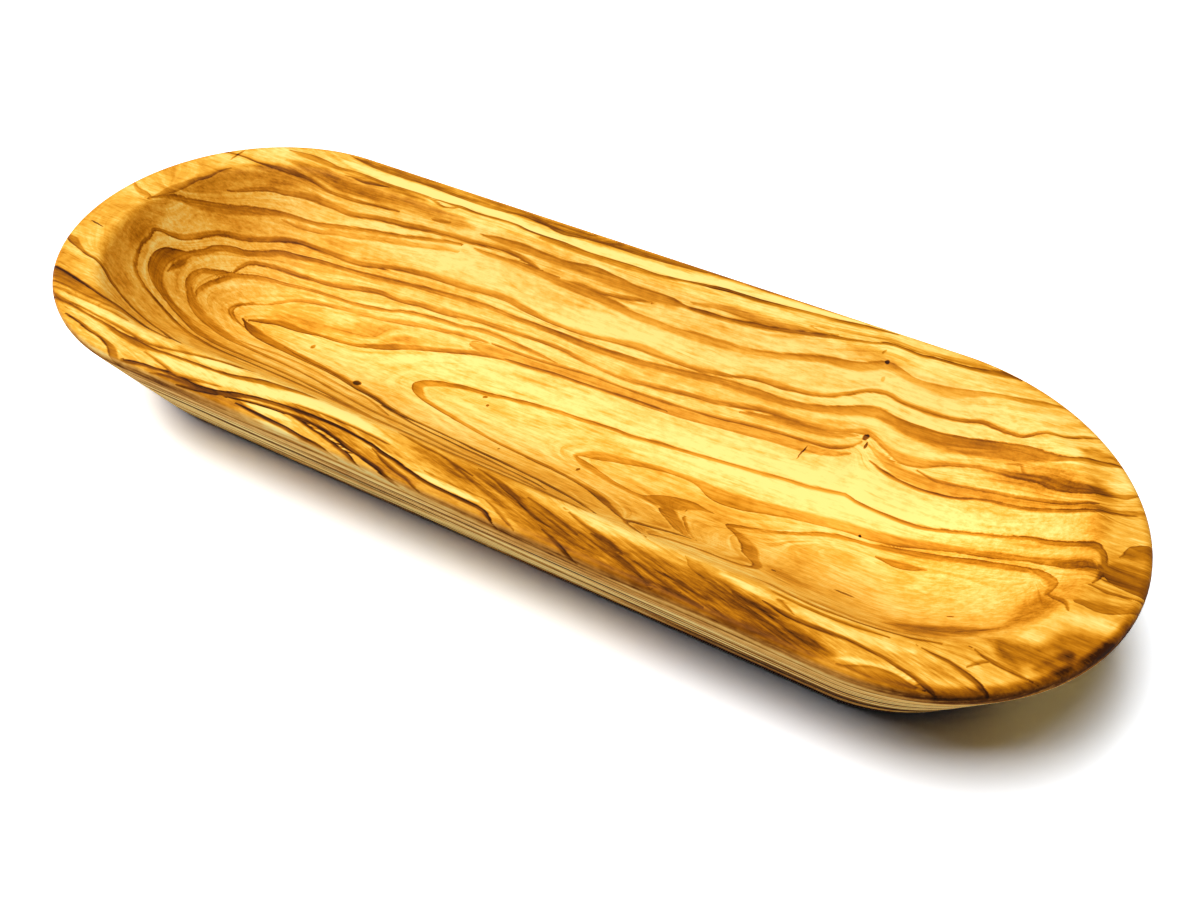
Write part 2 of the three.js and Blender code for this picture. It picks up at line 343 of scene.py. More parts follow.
    Ribbon(0.50, (
        (16.5, -10.4, 2.6), (21, -12.8, 3.6), (27, -15.2, 3.6), (35, -17.8, 2.4), (43, -19.3, 1.8),
        (48.5, -19.3, 3.2), (53.5, -17.6, 8), (57.5, -15.8, 9), (62, -13, 6), (66, -11.6, 3),
        (71, -11.4, 2))),
    Ribbon(0.56, (
        (55.5, -18, 9), (58.5, -22, 7), (61.5, -25.6, 5.6), (65, -29.8, 4.6), (68.5, -33.4, 4.2),
        (71.8, -36.4, 3))),
    Ribbon(0.74, (
        (72, -36.8, 2), (67, -38.2, 2.2), (62, -40.6, 2.6), (58, -42.6, 2.6), (55, -44.6, 2.2),
        (54, -47, 1.6), (55.8, -49.8, 1.4), (59.5, -53, 1.4), (65, -56, 1.3))),
    Ribbon(0.54, (
        (174.5, -14, 2.6), (175.5, -9.5, 2.6), (173.5, -5.5, 2.4), (170, -1.8, 2), (166, 0, 2.2),
        (160, 2, 2.6), (152, 3.9, 2.4), (144, 4.6, 2.2), (136, 4.7, 2.2), (128, 4, 1.8),
        (122, 2.7, 1.4), (116, 1.8, 1.3), (110, 0.9, 1.6), (105, -1, 2), (100, -3.8, 1.6),
        (95, -6.5, 1.4), (89, -9.5, 1.4), (83, -12.5, 1.7), (78, -15, 2.2), (81, -17.2, 2),
        (85, -20, 4), (88, -24, 5.4), (90, -28.5, 5.4), (92.2, -32.4, 3.8), (94.6, -36, 3),
        (94.6, -40, 2.2), (92, -43, 1.9), (86, -43.8, 1.6), (78, -44.6, 1.6), (71.5, -46.4, 1.9),
        (66.5, -48.5, 2), (64, -51.5, 1.5), (64, -54, 1))),
    Ribbon(0.50, (
        (125, -1, 1.4), (131, -1, 2.8), (136, -0.8, 3), (141, -0.8, 1.8))),
    Ribbon(0.66, (
        (97, -51.6, 1.2), (103, -51.6, 1.7), (107, -53.3, 1.5), (111, -54.7, 1.3), (118, -55.6, 1.1),
        (126, -55, 1), (135, -53.8, 0.9), (145, -52.6, 0.9), (152, -51, 0.9))),
    # Far rim
    Ribbon(0.55, (
        (-60, 52.3, 1.1), (-50, 52.6, 1.6), (-40, 52.8, 1.8), (-30, 52.3, 2), (-20, 52.2, 2.4),
        (-10, 52.7, 3.2), (0, 52.3, 3), (8, 51.9, 2.6), (15, 51.9, 2.6), (22, 52, 2.4), (30, 52.1, 1.2))),
    Ribbon(0.72, (
        (28, 51.9, 1), (40, 52.4, 1.2), (50, 53.1, 1.2), (60, 54.1, 1.2), (70, 55.6, 1.3),
        (80, 57.6, 1.3), (90, 60, 1.2), (97, 62.2, 1.2), (102, 64.4, 1.4), (107, 64.2, 1.1),
        (113, 63.6, 1.3), (120, 64.7, 1.3), (128, 65.3, 1.5), (134, 66.2, 2), (140, 67.8, 3.5),
        (147, 68, 3))),
    Ribbon(0.48, (
        (30, 54, 1), (40, 55.2, 1.5), (50, 55.6, 2), (60, 55.9, 2.2), (68, 56.6, 2), (76, 58, 1.2),
        (84, 59.8, 0.9))),
    Ribbon(0.42, (
        (74, 60, 1), (80, 62, 1.5), (88, 63.6, 1.5), (95, 65.2, 1.7), (102, 66.8, 2), (112, 66.3, 2),
        (122, 67.3, 2), (132, 68.2, 2.4), (140, 69.2, 2))),
    Ribbon(0.70, (
        (-88, 60, 1.2), (-80, 60.3, 1), (-74, 60.6, 1.5), (-68, 60.2, 1.2), (-60, 60.6, 1.3),
        (-53, 61, 1.3), (-48, 60.9, 1.1), (-44, 59.9, 1.2), (-36, 59.6, 1.1), (-27, 59.8, 1),
        (-17, 59.2, 1.1), (-8, 59.6, 1), (4, 60.1, 1), (13, 59.7, 1.1), (24, 61.1, 1.1),
        (31, 62.5, 1.6), (38, 63.7, 1.5), (46, 63.7, 2), (54, 64.1, 2), (62, 65.2, 1.7),
        (72, 66.4, 1.6), (82, 67.5, 1.6), (92, 69.2, 1.6), (103, 70.5, 1.4))),
    Ribbon(0.50, (
        (-40, 58.3, 2), (-30, 58.3, 2.4), (-20, 58, 2), (-10, 58, 1.8), (0, 58, 2), (8, 58.8, 2),
        (15, 59, 1.4), (22, 59.6, 1))),
    Ribbon(0.60, (
        (-160, 60.3, 1.5), (-154, 60.3, 2.4), (-147, 60.4, 3.2), (-140, 60, 3), (-134, 59.4, 2),
        (-128, 60.2, 1.6), (-120, 60.3, 1.4), (-112, 59.6, 1.3), (-105, 59.4, 1.5), (-98, 59.8, 1.3),
        (-90, 59.9, 1.3), (-87, 59.2, 1.3), (-84, 58.2, 1.1), (-81, 57.3, 1.3), (-78, 58, 1.1),
        (-75, 59.5, 1.2))),
    Ribbon(0.54, (
        (-135, 69.8, 1.2), (-128, 68.6, 1.2), (-118, 67.6, 1.3), (-108, 67.6, 1.6), (-98, 67.4, 1.1),
        (-88, 67.3, 1.8), (-76, 66.7, 1.1), (-66, 66.2, 1), (-58, 66.9, 1.2), (-51, 68.1, 1.2),
        (-45, 68, 2), (-38, 67, 1.6), (-30, 65.7, 2), (-24, 66.6, 1.4), (-15, 67.4, 1.2),
        (-5, 67.6, 1.1), (4, 68.1, 1.2), (14, 68.8, 1.2), (24, 69.2, 1.1), (30, 70.2, 1))),
    # Left rim
    Ribbon(0.46, (
        (-198, 10, 1.4), (-194, 7.3, 1.3), (-190, 6, 2.6), (-187, 5.2, 4), (-184.8, 4.6, 3.6))),
    Ribbon(0.70, (
        (-196, -28.5, 2.4), (-193, -29.5, 2.6), (-189, -30.6, 3.2), (-185, -32.3, 2.2),
        (-181, -33.8, 1.4), (-177, -34.9, 1.1), (-172, -35.4, 1.1), (-167, -37, 1.1), (-160, -40.6, 1),
        (-150, -44, 1), (-140, -46.8, 1), (-131, -49.4, 1.1), (-124, -52.2, 1.2), (-118, -54.8, 1.3),
        (-112, -55.9, 1))),
    # Near rim
    Ribbon(0.56, (
        (-184, -46.8, 3), (-181.5, -47.8, 3.4), (-175, -49.8, 4.6), (-167, -50.7, 4.2),
        (-158, -51.7, 3.4), (-150, -51.9, 3), (-144, -51.5, 2.6), (-138, -52.3, 1.8), (-131, -54, 1.6),
        (-125, -55.6, 1.4), (-119, -56.6, 1))),
    Ribbon(0.62, (
        (-174, -56.6, 0.9), (-166, -58.6, 1.2), (-158, -58.6, 0.9), (-150, -59.4, 0.9),
        (-140, -60.2, 0.9), (-131, -61, 1), (-124, -61.9, 1), (-117, -61.7, 1), (-110, -60.2, 0.9),
        (-101, -58.2, 0.9), (-92, -56.6, 0.9), (-86, -55.7, 1), (-81.5, -54.9, 1.1))),
    Ribbon(0.76, (
        (-170, -59.6, 1.6), (-160, -60.2, 1.1), (-153, -60.6, 1), (-146, -61.4, 1), (-140, -62.2, 1.2),
        (-135, -63.4, 1.8), (-129, -64, 2.6), (-123, -64.3, 2.4), (-117, -64, 1.4), (-110, -63.1, 1),
        (-101, -62.4, 1), (-92, -61.8, 1), (-86, -61.3, 1.2), (-81, -60, 1.8), (-75, -58.6, 2),
        (-68, -57.5, 2), (-61, -56.4, 1.8), (-55, -55.7, 1))),
    Ribbon(0.76, (
        (-158, -64.3, 0.9), (-151, -65.2, 1), (-144, -66.7, 1.2), (-138, -67.7, 1.2),
        (-133, -69.3, 1.5), (-129, -71.3, 2.8), (-126, -74, 3.2), (-122, -78, 3))),
    Ribbon(0.55, (
        (-119, -66.2, 1), (-113, -67.2, 1), (-107, -68.4, 1.1), (-103, -69.6, 1.3), (-97, -69, 1.1),
        (-90, -68, 1), (-85, -67, 0.9))),
    Ribbon(0.95, (
        (-127, -74, 1.2), (-122, -72.6, 1.3), (-115, -71.3, 1.2), (-108, -70.4, 1.1), (-101, -70.1, 1),
        (-94, -70.5, 1), (-88, -70, 1.3), (-83, -69.2, 2), (-79, -68.1, 2.4), (-75, -66.8, 2),
        (-70, -65.7, 1.6), (-64, -64.9, 1.6), (-58, -64, 1.4), (-50, -63.4, 1.2), (-42, -63.4, 1),
        (-34, -64, 1), (-28, -64.7, 1.1), (-22, -66.2, 1.1), (-15, -67.4, 1), (-8, -69, 1), (0, -70, 1),
        (9, -70.2, 1), (16, -70.6, 1), (20, -72, 1.2), (25, -76, 1.2))),
    Ribbon(0.92, (
        (-81, -70, 0.9), (-75, -68.2, 1), (-68, -67.1, 1), (-60, -66.3, 1), (-52, -66, 1),
        (-46, -66.5, 1), (-40, -67.6, 1.1), (-34, -69, 1.1), (-28, -70, 1.1), (-22, -71.3, 1.1),
        (-16, -73.2, 1.1), (-8, -77, 1))),
    Ribbon(0.92, (
        (-60, -66.6, 0.8), (-54, -67, 0.9), (-48, -68.2, 1), (-42, -69.1, 1), (-36, -70.8, 1.1),
        (-31, -72.2, 1.1), (-24, -75, 1.1))),
    Ribbon(0.95, (
        (-76, -70.7, 1), (-69, -71.1, 1), (-62, -71.7, 1), (-55, -72.1, 1), (-49, -72.9, 1.2),
        (-42, -73.4, 1.6), (-34, -75, 1.6))),
    Ribbon(0.35, (
        (78.5, -57, 1.5), (82, -58.6, 4), (86, -60.5, 2.5), (90, -61.6, 1))),
    Ribbon(0.72, (
        (104, -61.2, 1), (112, -62.6, 1.2), (120, -62.6, 1.2), (128, -62.4, 1.1), (136, -62.7, 1.1),
        (142, -63.5, 1.2), (148, -64.8, 1.4), (152, -66.3, 2), (157, -69, 1.8))),
    Ribbon(0.50, (
        (129, -71, 1.2), (134, -69.7, 2.6), (140, -68.6, 3.2), (146, -68, 2.6), (150, -68, 1.4))),
    # Right rim
    Ribbon(0.72, (
        (146, -54.7, 0.9), (150, -55.4, 1.1), (155, -56, 1.3), (160, -57.6, 1.3), (164, -59.3, 1.6),
        (169, -62, 1.8))),
    Ribbon(0.62, (
        (159, -48.3, 0.9), (163, -49.6, 1), (168, -50.7, 1), (173, -51.2, 1), (178, -51.5, 1))),
    Ribbon(0.64, (
        (186.5, -2.5, 8.6), (191, -2.5, 9.8), (196, -2.3, 11), (204, -2, 12))),
    Ribbon(0.58, (
        (190.5, 4.5, 2.2), (193.5, 6.5, 5), (197, 8, 7.6), (204, 10, 8))),
    Ribbon(0.46, (
        (182, -18, 4.2), (187, -17.4, 4.6), (192, -16, 3.4), (196, -14, 2.4), (203, -11, 2))),
)

STROKES = (
    # Hollow
    Ribbon(0.60, (
        (-185, 45, 1.4), (-179, 46.5, 1.2), (-172, 47, 0.9), (-165, 46.6, 1.0), (-159, 47.3, 1.2),
        (-153, 48.8, 1.5), (-147, 50.2, 1.3), (-140, 51, 1.1), (-132, 50.4, 1), (-120, 50.2, 0.9),
        (-108, 50.9, 0.9), (-98, 51.2, 0.9))),
    Ribbon(0.50, (
        (-184.6, 4, 1.6), (-183.2, 9, 1.8), (-182.3, 14, 3), (-180.5, 19, 2.6), (-178.5, 24.5, 1.6),
        (-176, 28.5, 1.2), (-174, 34, 1.2), (-171.5, 37.5, 1))),
    Ribbon(0.85, (
        (-108, -16, 0.9), (-100, -17.6, 1.4), (-92, -18.9, 1.4), (-84, -19.6, 1.2), (-78, -20.8, 1.2),
        (-72, -22.4, 1.1), (-66, -25, 1.6), (-60, -25.6, 1.6), (-54, -27.6, 1.2), (-48, -30.4, 1.4),
        (-42, -32.4, 1))),
    Ribbon(0.70, (
        (-50, -31.5, 0.9), (-44, -33.6, 1.2), (-38, -35.2, 1.2), (-32, -37.3, 1.1), (-24, -38.9, 1.1),
        (-16, -40.2, 1.2), (-10, -41.6, 1.4), (-4, -42.6, 2), (2, -43.6, 2), (10, -45.3, 1.6),
        (18, -46.8, 1.4), (24, -48.4, 1.4), (28, -50.6, 1.4))),
    Ribbon(0.50, (
        (62.6, -15.5, 0.9), (63.6, -20, 1), (66, -25.6, 1.1), (69.5, -31.2, 1.2), (74.2, -36.6, 1))),
    Ribbon(0.60, (
        (-38, 21.9, 0.8), (-22, 22.3, 0.8), (-8, 23.2, 1), (6, 23.6, 0.8), (24, 23.8, 0.8),
        (40, 24.5, 0.9), (54, 25.4, 0.9), (66, 26.8, 0.9), (80, 27.9, 0.9), (92, 28.4, 0.9),
        (98, 29.4, 1), (103, 31.7, 1.2), (106, 34, 1.1))),
    Ribbon(0.66, (
        (-30, 18.4, 1.2), (-18, 19, 1.1), (-6, 19.9, 1), (8, 20.4, 0.9), (24, 20.8, 0.9),
        (38, 21.4, 0.8))),
    Ribbon(0.60, (
        (126, 31.4, 0.9), (134, 29.9, 0.8), (146, 29.6, 0.8), (156, 28, 0.9), (165, 26, 1),
        (173, 23.9, 1), (181, 22.6, 1))),
    Ribbon(0.65, (
        (110, 29.5, 0.8), (117, 27.4, 0.9), (126, 26.4, 0.8), (140, 26.3, 0.8), (150, 26.2, 0.8),
        (158, 24.6, 1), (167, 22.4, 1.2), (175, 20.9, 1.3), (182, 20.3, 1.2), (189, 22, 1), (195, 25, 1))),
    Ribbon(0.50, (
        (175, -14, 1.2), (177, -16.5, 1.3), (179, -19, 1.3), (180.3, -22.5, 1.4))),
    Ribbon(0.62, (
        (104, -56.8, 0.8), (112, -57.4, 0.9), (120, -57.8, 0.9), (130, -57, 0.9), (139, -56, 0.8))),
    Ribbon(0.40, (
        (152, 37.4, 0.5), (157, 37.6, 0.6), (158, 35.5, 0.9), (159.5, 33.6, 0.8))),
    Ribbon(0.50, (
        (176, 29.6, 1), (178, 28.2, 1.4), (179.5, 26.6, 1.2))),
    Ribbon(0.40, (
        (155, -38.4, 1.2), (160, -36, 1.4), (165, -34, 1.2))),
    # Far rim
    Ribbon(0.75, (
        (-128, 56.8, 0.9), (-124, 57.2, 1.1), (-119, 56.8, 1.1), (-114, 57.4, 1.3), (-110, 57.9, 1),
        (-106, 59, 0.8))),
    Ribbon(0.75, (
        (26, 61.5, 0.8), (31, 62.6, 1.1), (36, 63.4, 1.1), (41, 64, 0.9), (47, 64.3, 0.9))),
    Ribbon(0.55, (
        (-48, 52.9, 0.8), (-43, 53.4, 0.8), (-36, 53.7, 0.8))),
    Ribbon(0.55, (
        (-83, 52.1, 0.7), (-78, 52.4, 0.8), (-74, 52.8, 0.7))),
    # Near rim
    Ribbon(0.90, (
        (-183, -46, 1.4), (-176, -46.9, 0.9), (-168, -48.2, 0.9), (-160, -49.7, 0.9), (-154, -50.6, 1),
        (-148, -49.9, 0.9), (-141, -51, 1), (-134, -52.8, 0.9), (-127, -55, 0.9))),
    Ribbon(0.60, (
        (-178, -52.4, 0.8), (-168, -52.7, 0.8), (-158, -53.5, 0.8), (-148, -53.2, 0.8), (-141, -52, 0.8))),
    Ribbon(0.45, (
        (-176, -55.1, 0.8), (-165, -55.2, 0.9), (-155, -55.4, 0.8), (-145, -55.4, 0.9), (-137, -56, 0.9))),
    Ribbon(0.65, (
        (-60, -61.8, 0.7), (-50, -61, 0.7), (-40, -60.8, 0.8), (-30, -61.2, 0.7), (-22, -62, 0.7))),
    Ribbon(0.80, (
        (-100, -73, 0.9), (-94, -72.3, 0.9), (-88, -71.3, 0.9), (-83, -70.4, 0.9))),
    Ribbon(0.60, (
        (-112, -73, 0.9), (-106, -72, 0.8), (-99, -71.4, 0.8), (-92, -71.3, 0.8))),
    Ribbon(0.58, (
        (-23, -55.4, 0.9), (-18, -56.2, 1), (-12, -57.2, 0.9), (-5, -58, 0.8), (2, -59.4, 0.9),
        (8, -60.4, 0.8))),
    Ribbon(0.6, (
        (8, -57, 0.9), (14, -58, 1.3), (19, -59.6, 1.8), (24, -61.6, 1.3), (28, -63.6, 1.2),
        (33, -65.3, 1.2), (40, -66.5, 1.1), (46, -68, 1.2), (52, -69.4, 1))),
    Ribbon(0.5, (
        (27, -60, 0.9), (33, -61.6, 1), (40, -63.6, 1), (47, -65.4, 1))),
    Ribbon(0.5, (
        (38, -58, 0.8), (44, -60, 0.9), (50, -61.9, 0.9), (56, -63.3, 1), (62, -65.4, 1))),
    Ribbon(0.6, (
        (-26, -65.6, 0.9), (-20, -68.3, 1), (-14, -70.2, 1), (-9, -71.3, 1), (-3, -74, 1))),
    Ribbon(0.58, (
        (16, -67, 0.8), (21, -68.6, 0.9), (25, -70.5, 0.9), (30, -73, 0.9))),
    Ribbon(0.66, (
        (37, -69, 0.9), (42, -70.8, 1), (46, -72.6, 1.2), (52, -76, 1.2))),
    Ribbon(0.42, (
        (-6, -65.9, 0.7), (0, -66.2, 0.7), (8, -66.6, 0.7), (14, -67, 0.7))),
    Ribbon(0.58, (
        (50, -63, 1.2), (56, -65, 1.4), (63, -67.5, 1.2), (68, -69.5, 1), (74, -72.6, 1.2))),
    Ribbon(0.5, (
        (66, -66, 0.8), (74, -68, 0.8), (82, -70, 0.8))),
    Ribbon(0.5, (
        (72, -70.5, 0.9), (80, -71, 0.9), (90, -71.5, 0.9))),
    Ribbon(0.5, (
        (75, -66, 0.8), (82, -67, 0.8), (90, -68.4, 0.8))),
    Ribbon(0.40, (
        (95, -62.7, 1.2), (99, -63.4, 2), (104, -63.6, 1.6), (110, -64, 0.9))),
    Ribbon(0.6, (
        (106, -58.4, 0.8), (109, -59.6, 1), (113, -61.4, 0.9))),
    # Right rim
    Ribbon(0.60, (
        (184, -10.5, 1), (189, -11, 1), (193, -10.4, 0.9), (200, -9.4, 1))),
    Ribbon(0.50, (
        (186, -7.3, 0.9), (191, -7.6, 0.9), (197, -7.4, 0.9))),
    Ribbon(0.60, (
        (160, -55, 0.9), (162, -52.4, 0.9), (165, -50.4, 0.9))),
)

WASHES = (
    # Tan inside the far arm of the widest loop, and under the crest towards +X
    Ribbon(0.26, (
        (-127, 1, 5), (-116, 3, 8), (-100, 5.5, 10), (-84, 9, 10), (-68, 13.5, 6), (-48, 18, 2)), 4.0),
    Ribbon(0.25, (
        (174, 42, 5), (179, 34, 6), (181.5, 25, 6), (183, 14, 5), (182, 6, 4)), 2.5),
    # Brown just inside the crest, most at both ends: the wood's colour with painted shade of the inner wall
    Ribbon(0.27, (
        (-180, 8, 6), (-180.5, -2, 7), (-180, -11, 8), (-177.5, -20, 8), (-172, -28.5, 8),
        (-165, -34.5, 7), (-156, -38.5, 4)), 2.0),
    Ribbon(0.28, (
        (-180, 17, 3), (-176, 25, 6), (-171, 33, 9), (-164, 40, 10), (-156, 45, 9), (-148, 49, 6),
        (-141, 50.5, 3)), 2.0),
    Ribbon(0.35, (
        (173, -13, 4), (173.5, -19, 8), (171, -26, 7), (167, -33, 4)), 2.5),
    Ribbon(0.36, (
        (136, -44, 3), (143, -42.6, 8), (151, -40, 9), (158, -37.3, 6.5), (165, -34.6, 3)), 2.0),
    Ribbon(0.25, (
        (112, -50.5, 3), (124, -50.8, 3), (138, -50, 2.5), (150, -48, 2.5)), 1.5),
    Ribbon(0.15, (
        (112, -44, 10), (104, -39, 9), (98, -33, 4)), 3.0),
    Ribbon(0.30, (
        (60, -46, 8), (62, -51, 7)), 1.5),
    # Far rim
    Ribbon(0.42, (
        (-156, 54, 2), (-146, 54.3, 4), (-136, 54.4, 4), (-124, 53.4, 4), (-110, 53.6, 3.5),
        (-95, 54, 4), (-80, 54, 4), (-65, 53.5, 3)), 1.5),
    Ribbon(0.36, (
        (-122, 58, 3), (-105, 58.3, 3), (-90, 58, 3.5)), 1.5),
    Ribbon(0.40, (
        (-132, 69.5, 2.5), (-100, 69, 4), (-70, 69, 4), (-45, 68.5, 4.5), (-20, 68.5, 4), (10, 69.5, 3),
        (40, 71.5, 2.5), (80, 72, 2)), 1.2),
    Ribbon(-0.30, (
        (-135, 65, 3), (-110, 63, 5), (-80, 63.4, 4.5), (-55, 63.8, 4), (-38, 62, 3.5), (-20, 62, 5),
        (0, 62.6, 5.5), (20, 64, 5.4), (34, 66.5, 5), (50, 67.6, 4.4), (70, 68.6, 3), (90, 70.5, 2)), 1.2),
    Ribbon(-0.25, (
        (38, 60, 3.5), (55, 60.6, 4), (70, 61, 2.5)), 1.5),
    Ribbon(0.25, (
        (90, 57, 4), (104, 57.5, 5), (114, 57.5, 3)), 1.5),
    Ribbon(0.40, (
        (172, 44, 3), (178, 44.6, 4), (183, 44.5, 3)), 1.0),
    Ribbon(0.16, (
        (106, 42, 3), (119, 41, 3.6), (130, 40.8, 4.4), (142, 40.9, 4.9), (151, 40.6, 5), (163, 39, 3)), 0.9),
    Ribbon(0.30, (
        (148, 33, 3), (158, 33.5, 6), (168, 32, 8), (178, 29, 7), (185, 27, 4)), 2.5),
    # Near rim
    Ribbon(-0.18, (
        (-178, -41, 6), (-166, -44, 6), (-156, -46.5, 4)), 1.5),
    Ribbon(-0.22, (
        (-168, -56.8, 1.6), (-150, -57.5, 2.4), (-135, -58.5, 2.6), (-122, -59, 3), (-112, -58.4, 2)), 1.0),
    Ribbon(-0.30, (
        (-104, -60.3, 1.6), (-95, -59.2, 2), (-86, -58, 2)), 0.8),
    Ribbon(-0.26, (
        (-114, -66, 2.6), (-102, -65.4, 4), (-90, -64.6, 4), (-79, -63.4, 3.8), (-70, -61.4, 3.8),
        (-60, -59.3, 4.8), (-50, -58.4, 5), (-40, -58.6, 4.6), (-31, -59.6, 2.8), (-24, -60.8, 1.4)), 1.0),
    Ribbon(0.32, (
        (-112, -71.5, 3), (-98, -71, 3.5), (-84, -71.5, 4), (-70, -70, 3)), 1.0),
    Ribbon(0.30, (
        (-66, -63.6, 1.4), (-58, -62.6, 2), (-50, -62.2, 2), (-42, -62, 2), (-34, -62.4, 2),
        (-26, -63.2, 2), (-16, -64.6, 2)), 0.8),
    Ribbon(0.32, (
        (-60, -64.8, 3), (-48, -65.3, 3.6), (-38, -66, 4), (-28, -67.5, 4), (-18, -69.5, 4.6),
        (-6, -71.4, 4)), 1.2),
    Ribbon(-0.50, (
        (-73, -69.4, 1.2), (-64, -68.7, 1.8), (-56, -68.6, 1.1)), 0.6),
    Ribbon(-0.60, (
        (-67, -73, 1), (-59, -73.2, 2), (-51, -73.6, 1)), 0.6),
    Ribbon(0.40, (
        (-15, -59, 4), (0, -61, 6), (14, -61, 8), (26, -63.5, 9), (38, -66, 11), (50, -67, 12),
        (64, -67.5, 13), (80, -67, 14), (96, -67.5, 13), (112, -68.5, 11), (126, -69.5, 7)), 2.5),
    Ribbon(0.12, (
        (92, -62.5, 2), (100, -64, 3), (106, -66, 5), (104, -70, 5), (118, -68.5, 4), (127, -67, 3)), 1.2),
    Ribbon(-0.40, (
        (-8, -67.8, 1.3), (0, -68.3, 1.9), (8, -68.6, 1.7), (15, -68.8, 1)), 0.6),
    Ribbon(-0.14, (
        (38, -57.6, 2), (48, -58, 3), (58, -58.8, 3), (70, -58.6, 2)), 1.0),
    Ribbon(-0.35, (
        (90, -58.3, 2), (98, -59, 2.6), (105, -59.6, 2)), 0.8),
    Ribbon(-0.24, (
        (110, -59.6, 2.4), (122, -60.2, 3.2), (134, -59.8, 3.2), (146, -57.5, 3)), 0.8),
    Ribbon(-0.35, (
        (126, -70.6, 1.2), (132, -67.8, 1.4), (140, -66, 1.4), (148, -66.4, 1.2)), 0.6),
    # Right rim
    Ribbon(0.42, (
        (163, -43.5, 4), (171, -44, 7), (178, -42, 8)), 1.5),
    Ribbon(0.30, (
        (166, -47, 4), (173, -49.5, 4)), 1.2),
    Ribbon(0.45, (
        (184, -38, 6), (181, -43.5, 5), (176, -47.5, 3.5)), 1.2),
    Ribbon(0.42, (
        (176, -40, 3), (181, -36.5, 7), (185, -34, 10), (190, -31.5, 8), (198, -28.5, 5)), 1.8),
    Ribbon(-0.20, (
        (171, -37.5, 4), (175.5, -36, 4)), 1.0),
    Ribbon(-0.16, (
        (180, -26, 4), (187, -24, 5), (194, -22, 5)), 1.2),
    Ribbon(0.25, (
        (150, -60.5, 4), (158, -60, 3)), 1.5),
    Ribbon(0.30, (
        (174, 1.5, 2), (180, -1.5, 5), (185, -3, 6)), 1.0),
)

STAINS_AND_SHEEN = (
    Patch((-165, 0), (80, 75), 0.06),
    Patch((-175, 0), (34, 60), 0.03),
    Patch((20, 12), (100, 26), -0.05),
    Patch((0, -42), (190, 13), 0.10),
    Patch((125, -30), (55, 24), 0.02),
    Patch((40, -20), (60, 20), 0.03),
    Patch((62, -14), (42, 14), 0.07),
    # Paler along the far inner wall: a painted sheen of the overhead light
    Patch((-20, 41), (120, 7), -0.18),
    Patch((60, 13), (110, 7), -0.12),
    Patch((150, 18), (40, 6), -0.12),
    Patch((-92, -8), (24, 4), -0.12),
    Patch((120, -66), (70, 9), 0.12),
    Patch((178, 22), (24, 46), 0.10),
    Patch((192, -14), (16, 40), 0.14),
    Patch((-30, -66), (70, 9), 0.08),
)

MARKS = (
    Mark((-69.3, -20.8), (2.2, 1.4), -55, 1.0),
    Mark((106.5, 35.5), (1.2, 0.8), 30, 0.9),
    Mark((107.6, 33.2), (1.0, 0.5), 80, 0.8),
    Mark((88.3, 24.5), (2.4, 0.3), 72, 0.7),
    Mark((103.9, 56.1), (0.8, 0.6), 0, 0.7),
    Mark((101.5, 59.5), (1.3, 0.5), 70, 0.3),
    Mark((104.6, 51.6), (0.7, 0.7), 0, 0.25),
    Mark((-189, -18.8), (3.6, 0.3), -8, 0.8),
    Mark((-176, 46.8), (0.6, 4.5), 0, 0.45),
    Mark((121.5, -30.2), (3.0, 0.8), 2, 0.6),
    Mark((117.6, 4.7), (0.5, 0.5), 0, 0.9),
    Mark((-27.8, 1.2), (0.9, 0.7), 20, 0.6),
    Mark((-24.6, -2.3), (0.6, 0.7), 0, 0.6),
    Mark((22.2, -18.4), (0.5, 1.4), 0, 0.6),
    Mark((-4, -27.5), (0.4, 0.9), 10, 0.5),
    Mark((-100.5, -8), (0.8, 1.6), 15, 0.5),
    Mark((99.6, -35.2), (0.8, 0.6), 0, 0.5),
    Mark((152.4, -26.8), (1.0, 0.5), 0, 0.5),
)


def smooth(value: Array, start: float, end: float) -> Array:
    """Smooth step from 0 at start to 1 at end."""
    t = np.clip((value - start) / (end - start), 0, 1)
    return t * t * (3 - 2 * t)


def smooth_path(path: Sequence[Sequence[float]], step: float) -> Array:
    """Points at even steps along a smooth curve through given points.

    Each stretch between two points is a cubic whose slope at a point is half the way from the point
    before it to the point after it.

    Args:
        path: The points; x and y in millimetres come first, anything after them is carried along.
        step: Spacing of the new points.

    Returns:
        Array of points, one row each.
    """
    given = np.asarray(path, dtype=float)
    before = np.vstack([2 * given[:1] - given[1:2], given[:-2]])
    after = np.vstack([given[2:], 2 * given[-1:] - given[-2:-1]])
    start, end = given[:-1], given[1:]
    lengths = np.linalg.norm((end - start)[:, :2], axis=1)
    counts = np.maximum(1, np.round(lengths / step).astype(int))
    piece = np.repeat(np.arange(len(start)), counts)
    first = np.repeat(np.cumsum(counts) - counts, counts)
    along = ((np.arange(len(piece)) - first) / counts[piece])[:, None]
    p0, p1, p2, p3 = before[piece], start[piece], end[piece], after[piece]
    curve = 0.5 * (2 * p1 + (p2 - p0) * along + (2 * p0 - 5 * p1 + 4 * p2 - p3) * along**2
                   + (3 * p1 - p0 - 3 * p2 + p3) * along**3)
    return np.vstack([curve, given[-1:]])


def bend(start: Array, corner: Array, end: Array, count: int) -> Array:
    """A quadratic curve between two points that leans towards a corner.

    At each point the start is weighed by the square of the way left, the end by the square of the way gone,
    and the corner by twice the product of the two.

    Args:
        start: Where the curve starts.
        corner: The corner.
        end: Where it ends.
        count: Number of points.

    Returns:
        Points of the curve, one row each.
    """
    t = np.linspace(0, 1, count)[:, None]
    return (1 - t) ** 2 * start + 2 * t * (1 - t) * corner + t**2 * end


def linear(red: int, green: int, blue: int) -> Colour:
    """Linear colour from the usual 0 to 255 screen values, by the standard screen curve."""
    parts = np.array([red, green, blue]) / 255
    return tuple(np.where(parts <= 0.04045, parts / 12.92, ((parts + 0.055) / 1.055) ** 2.4).tolist())


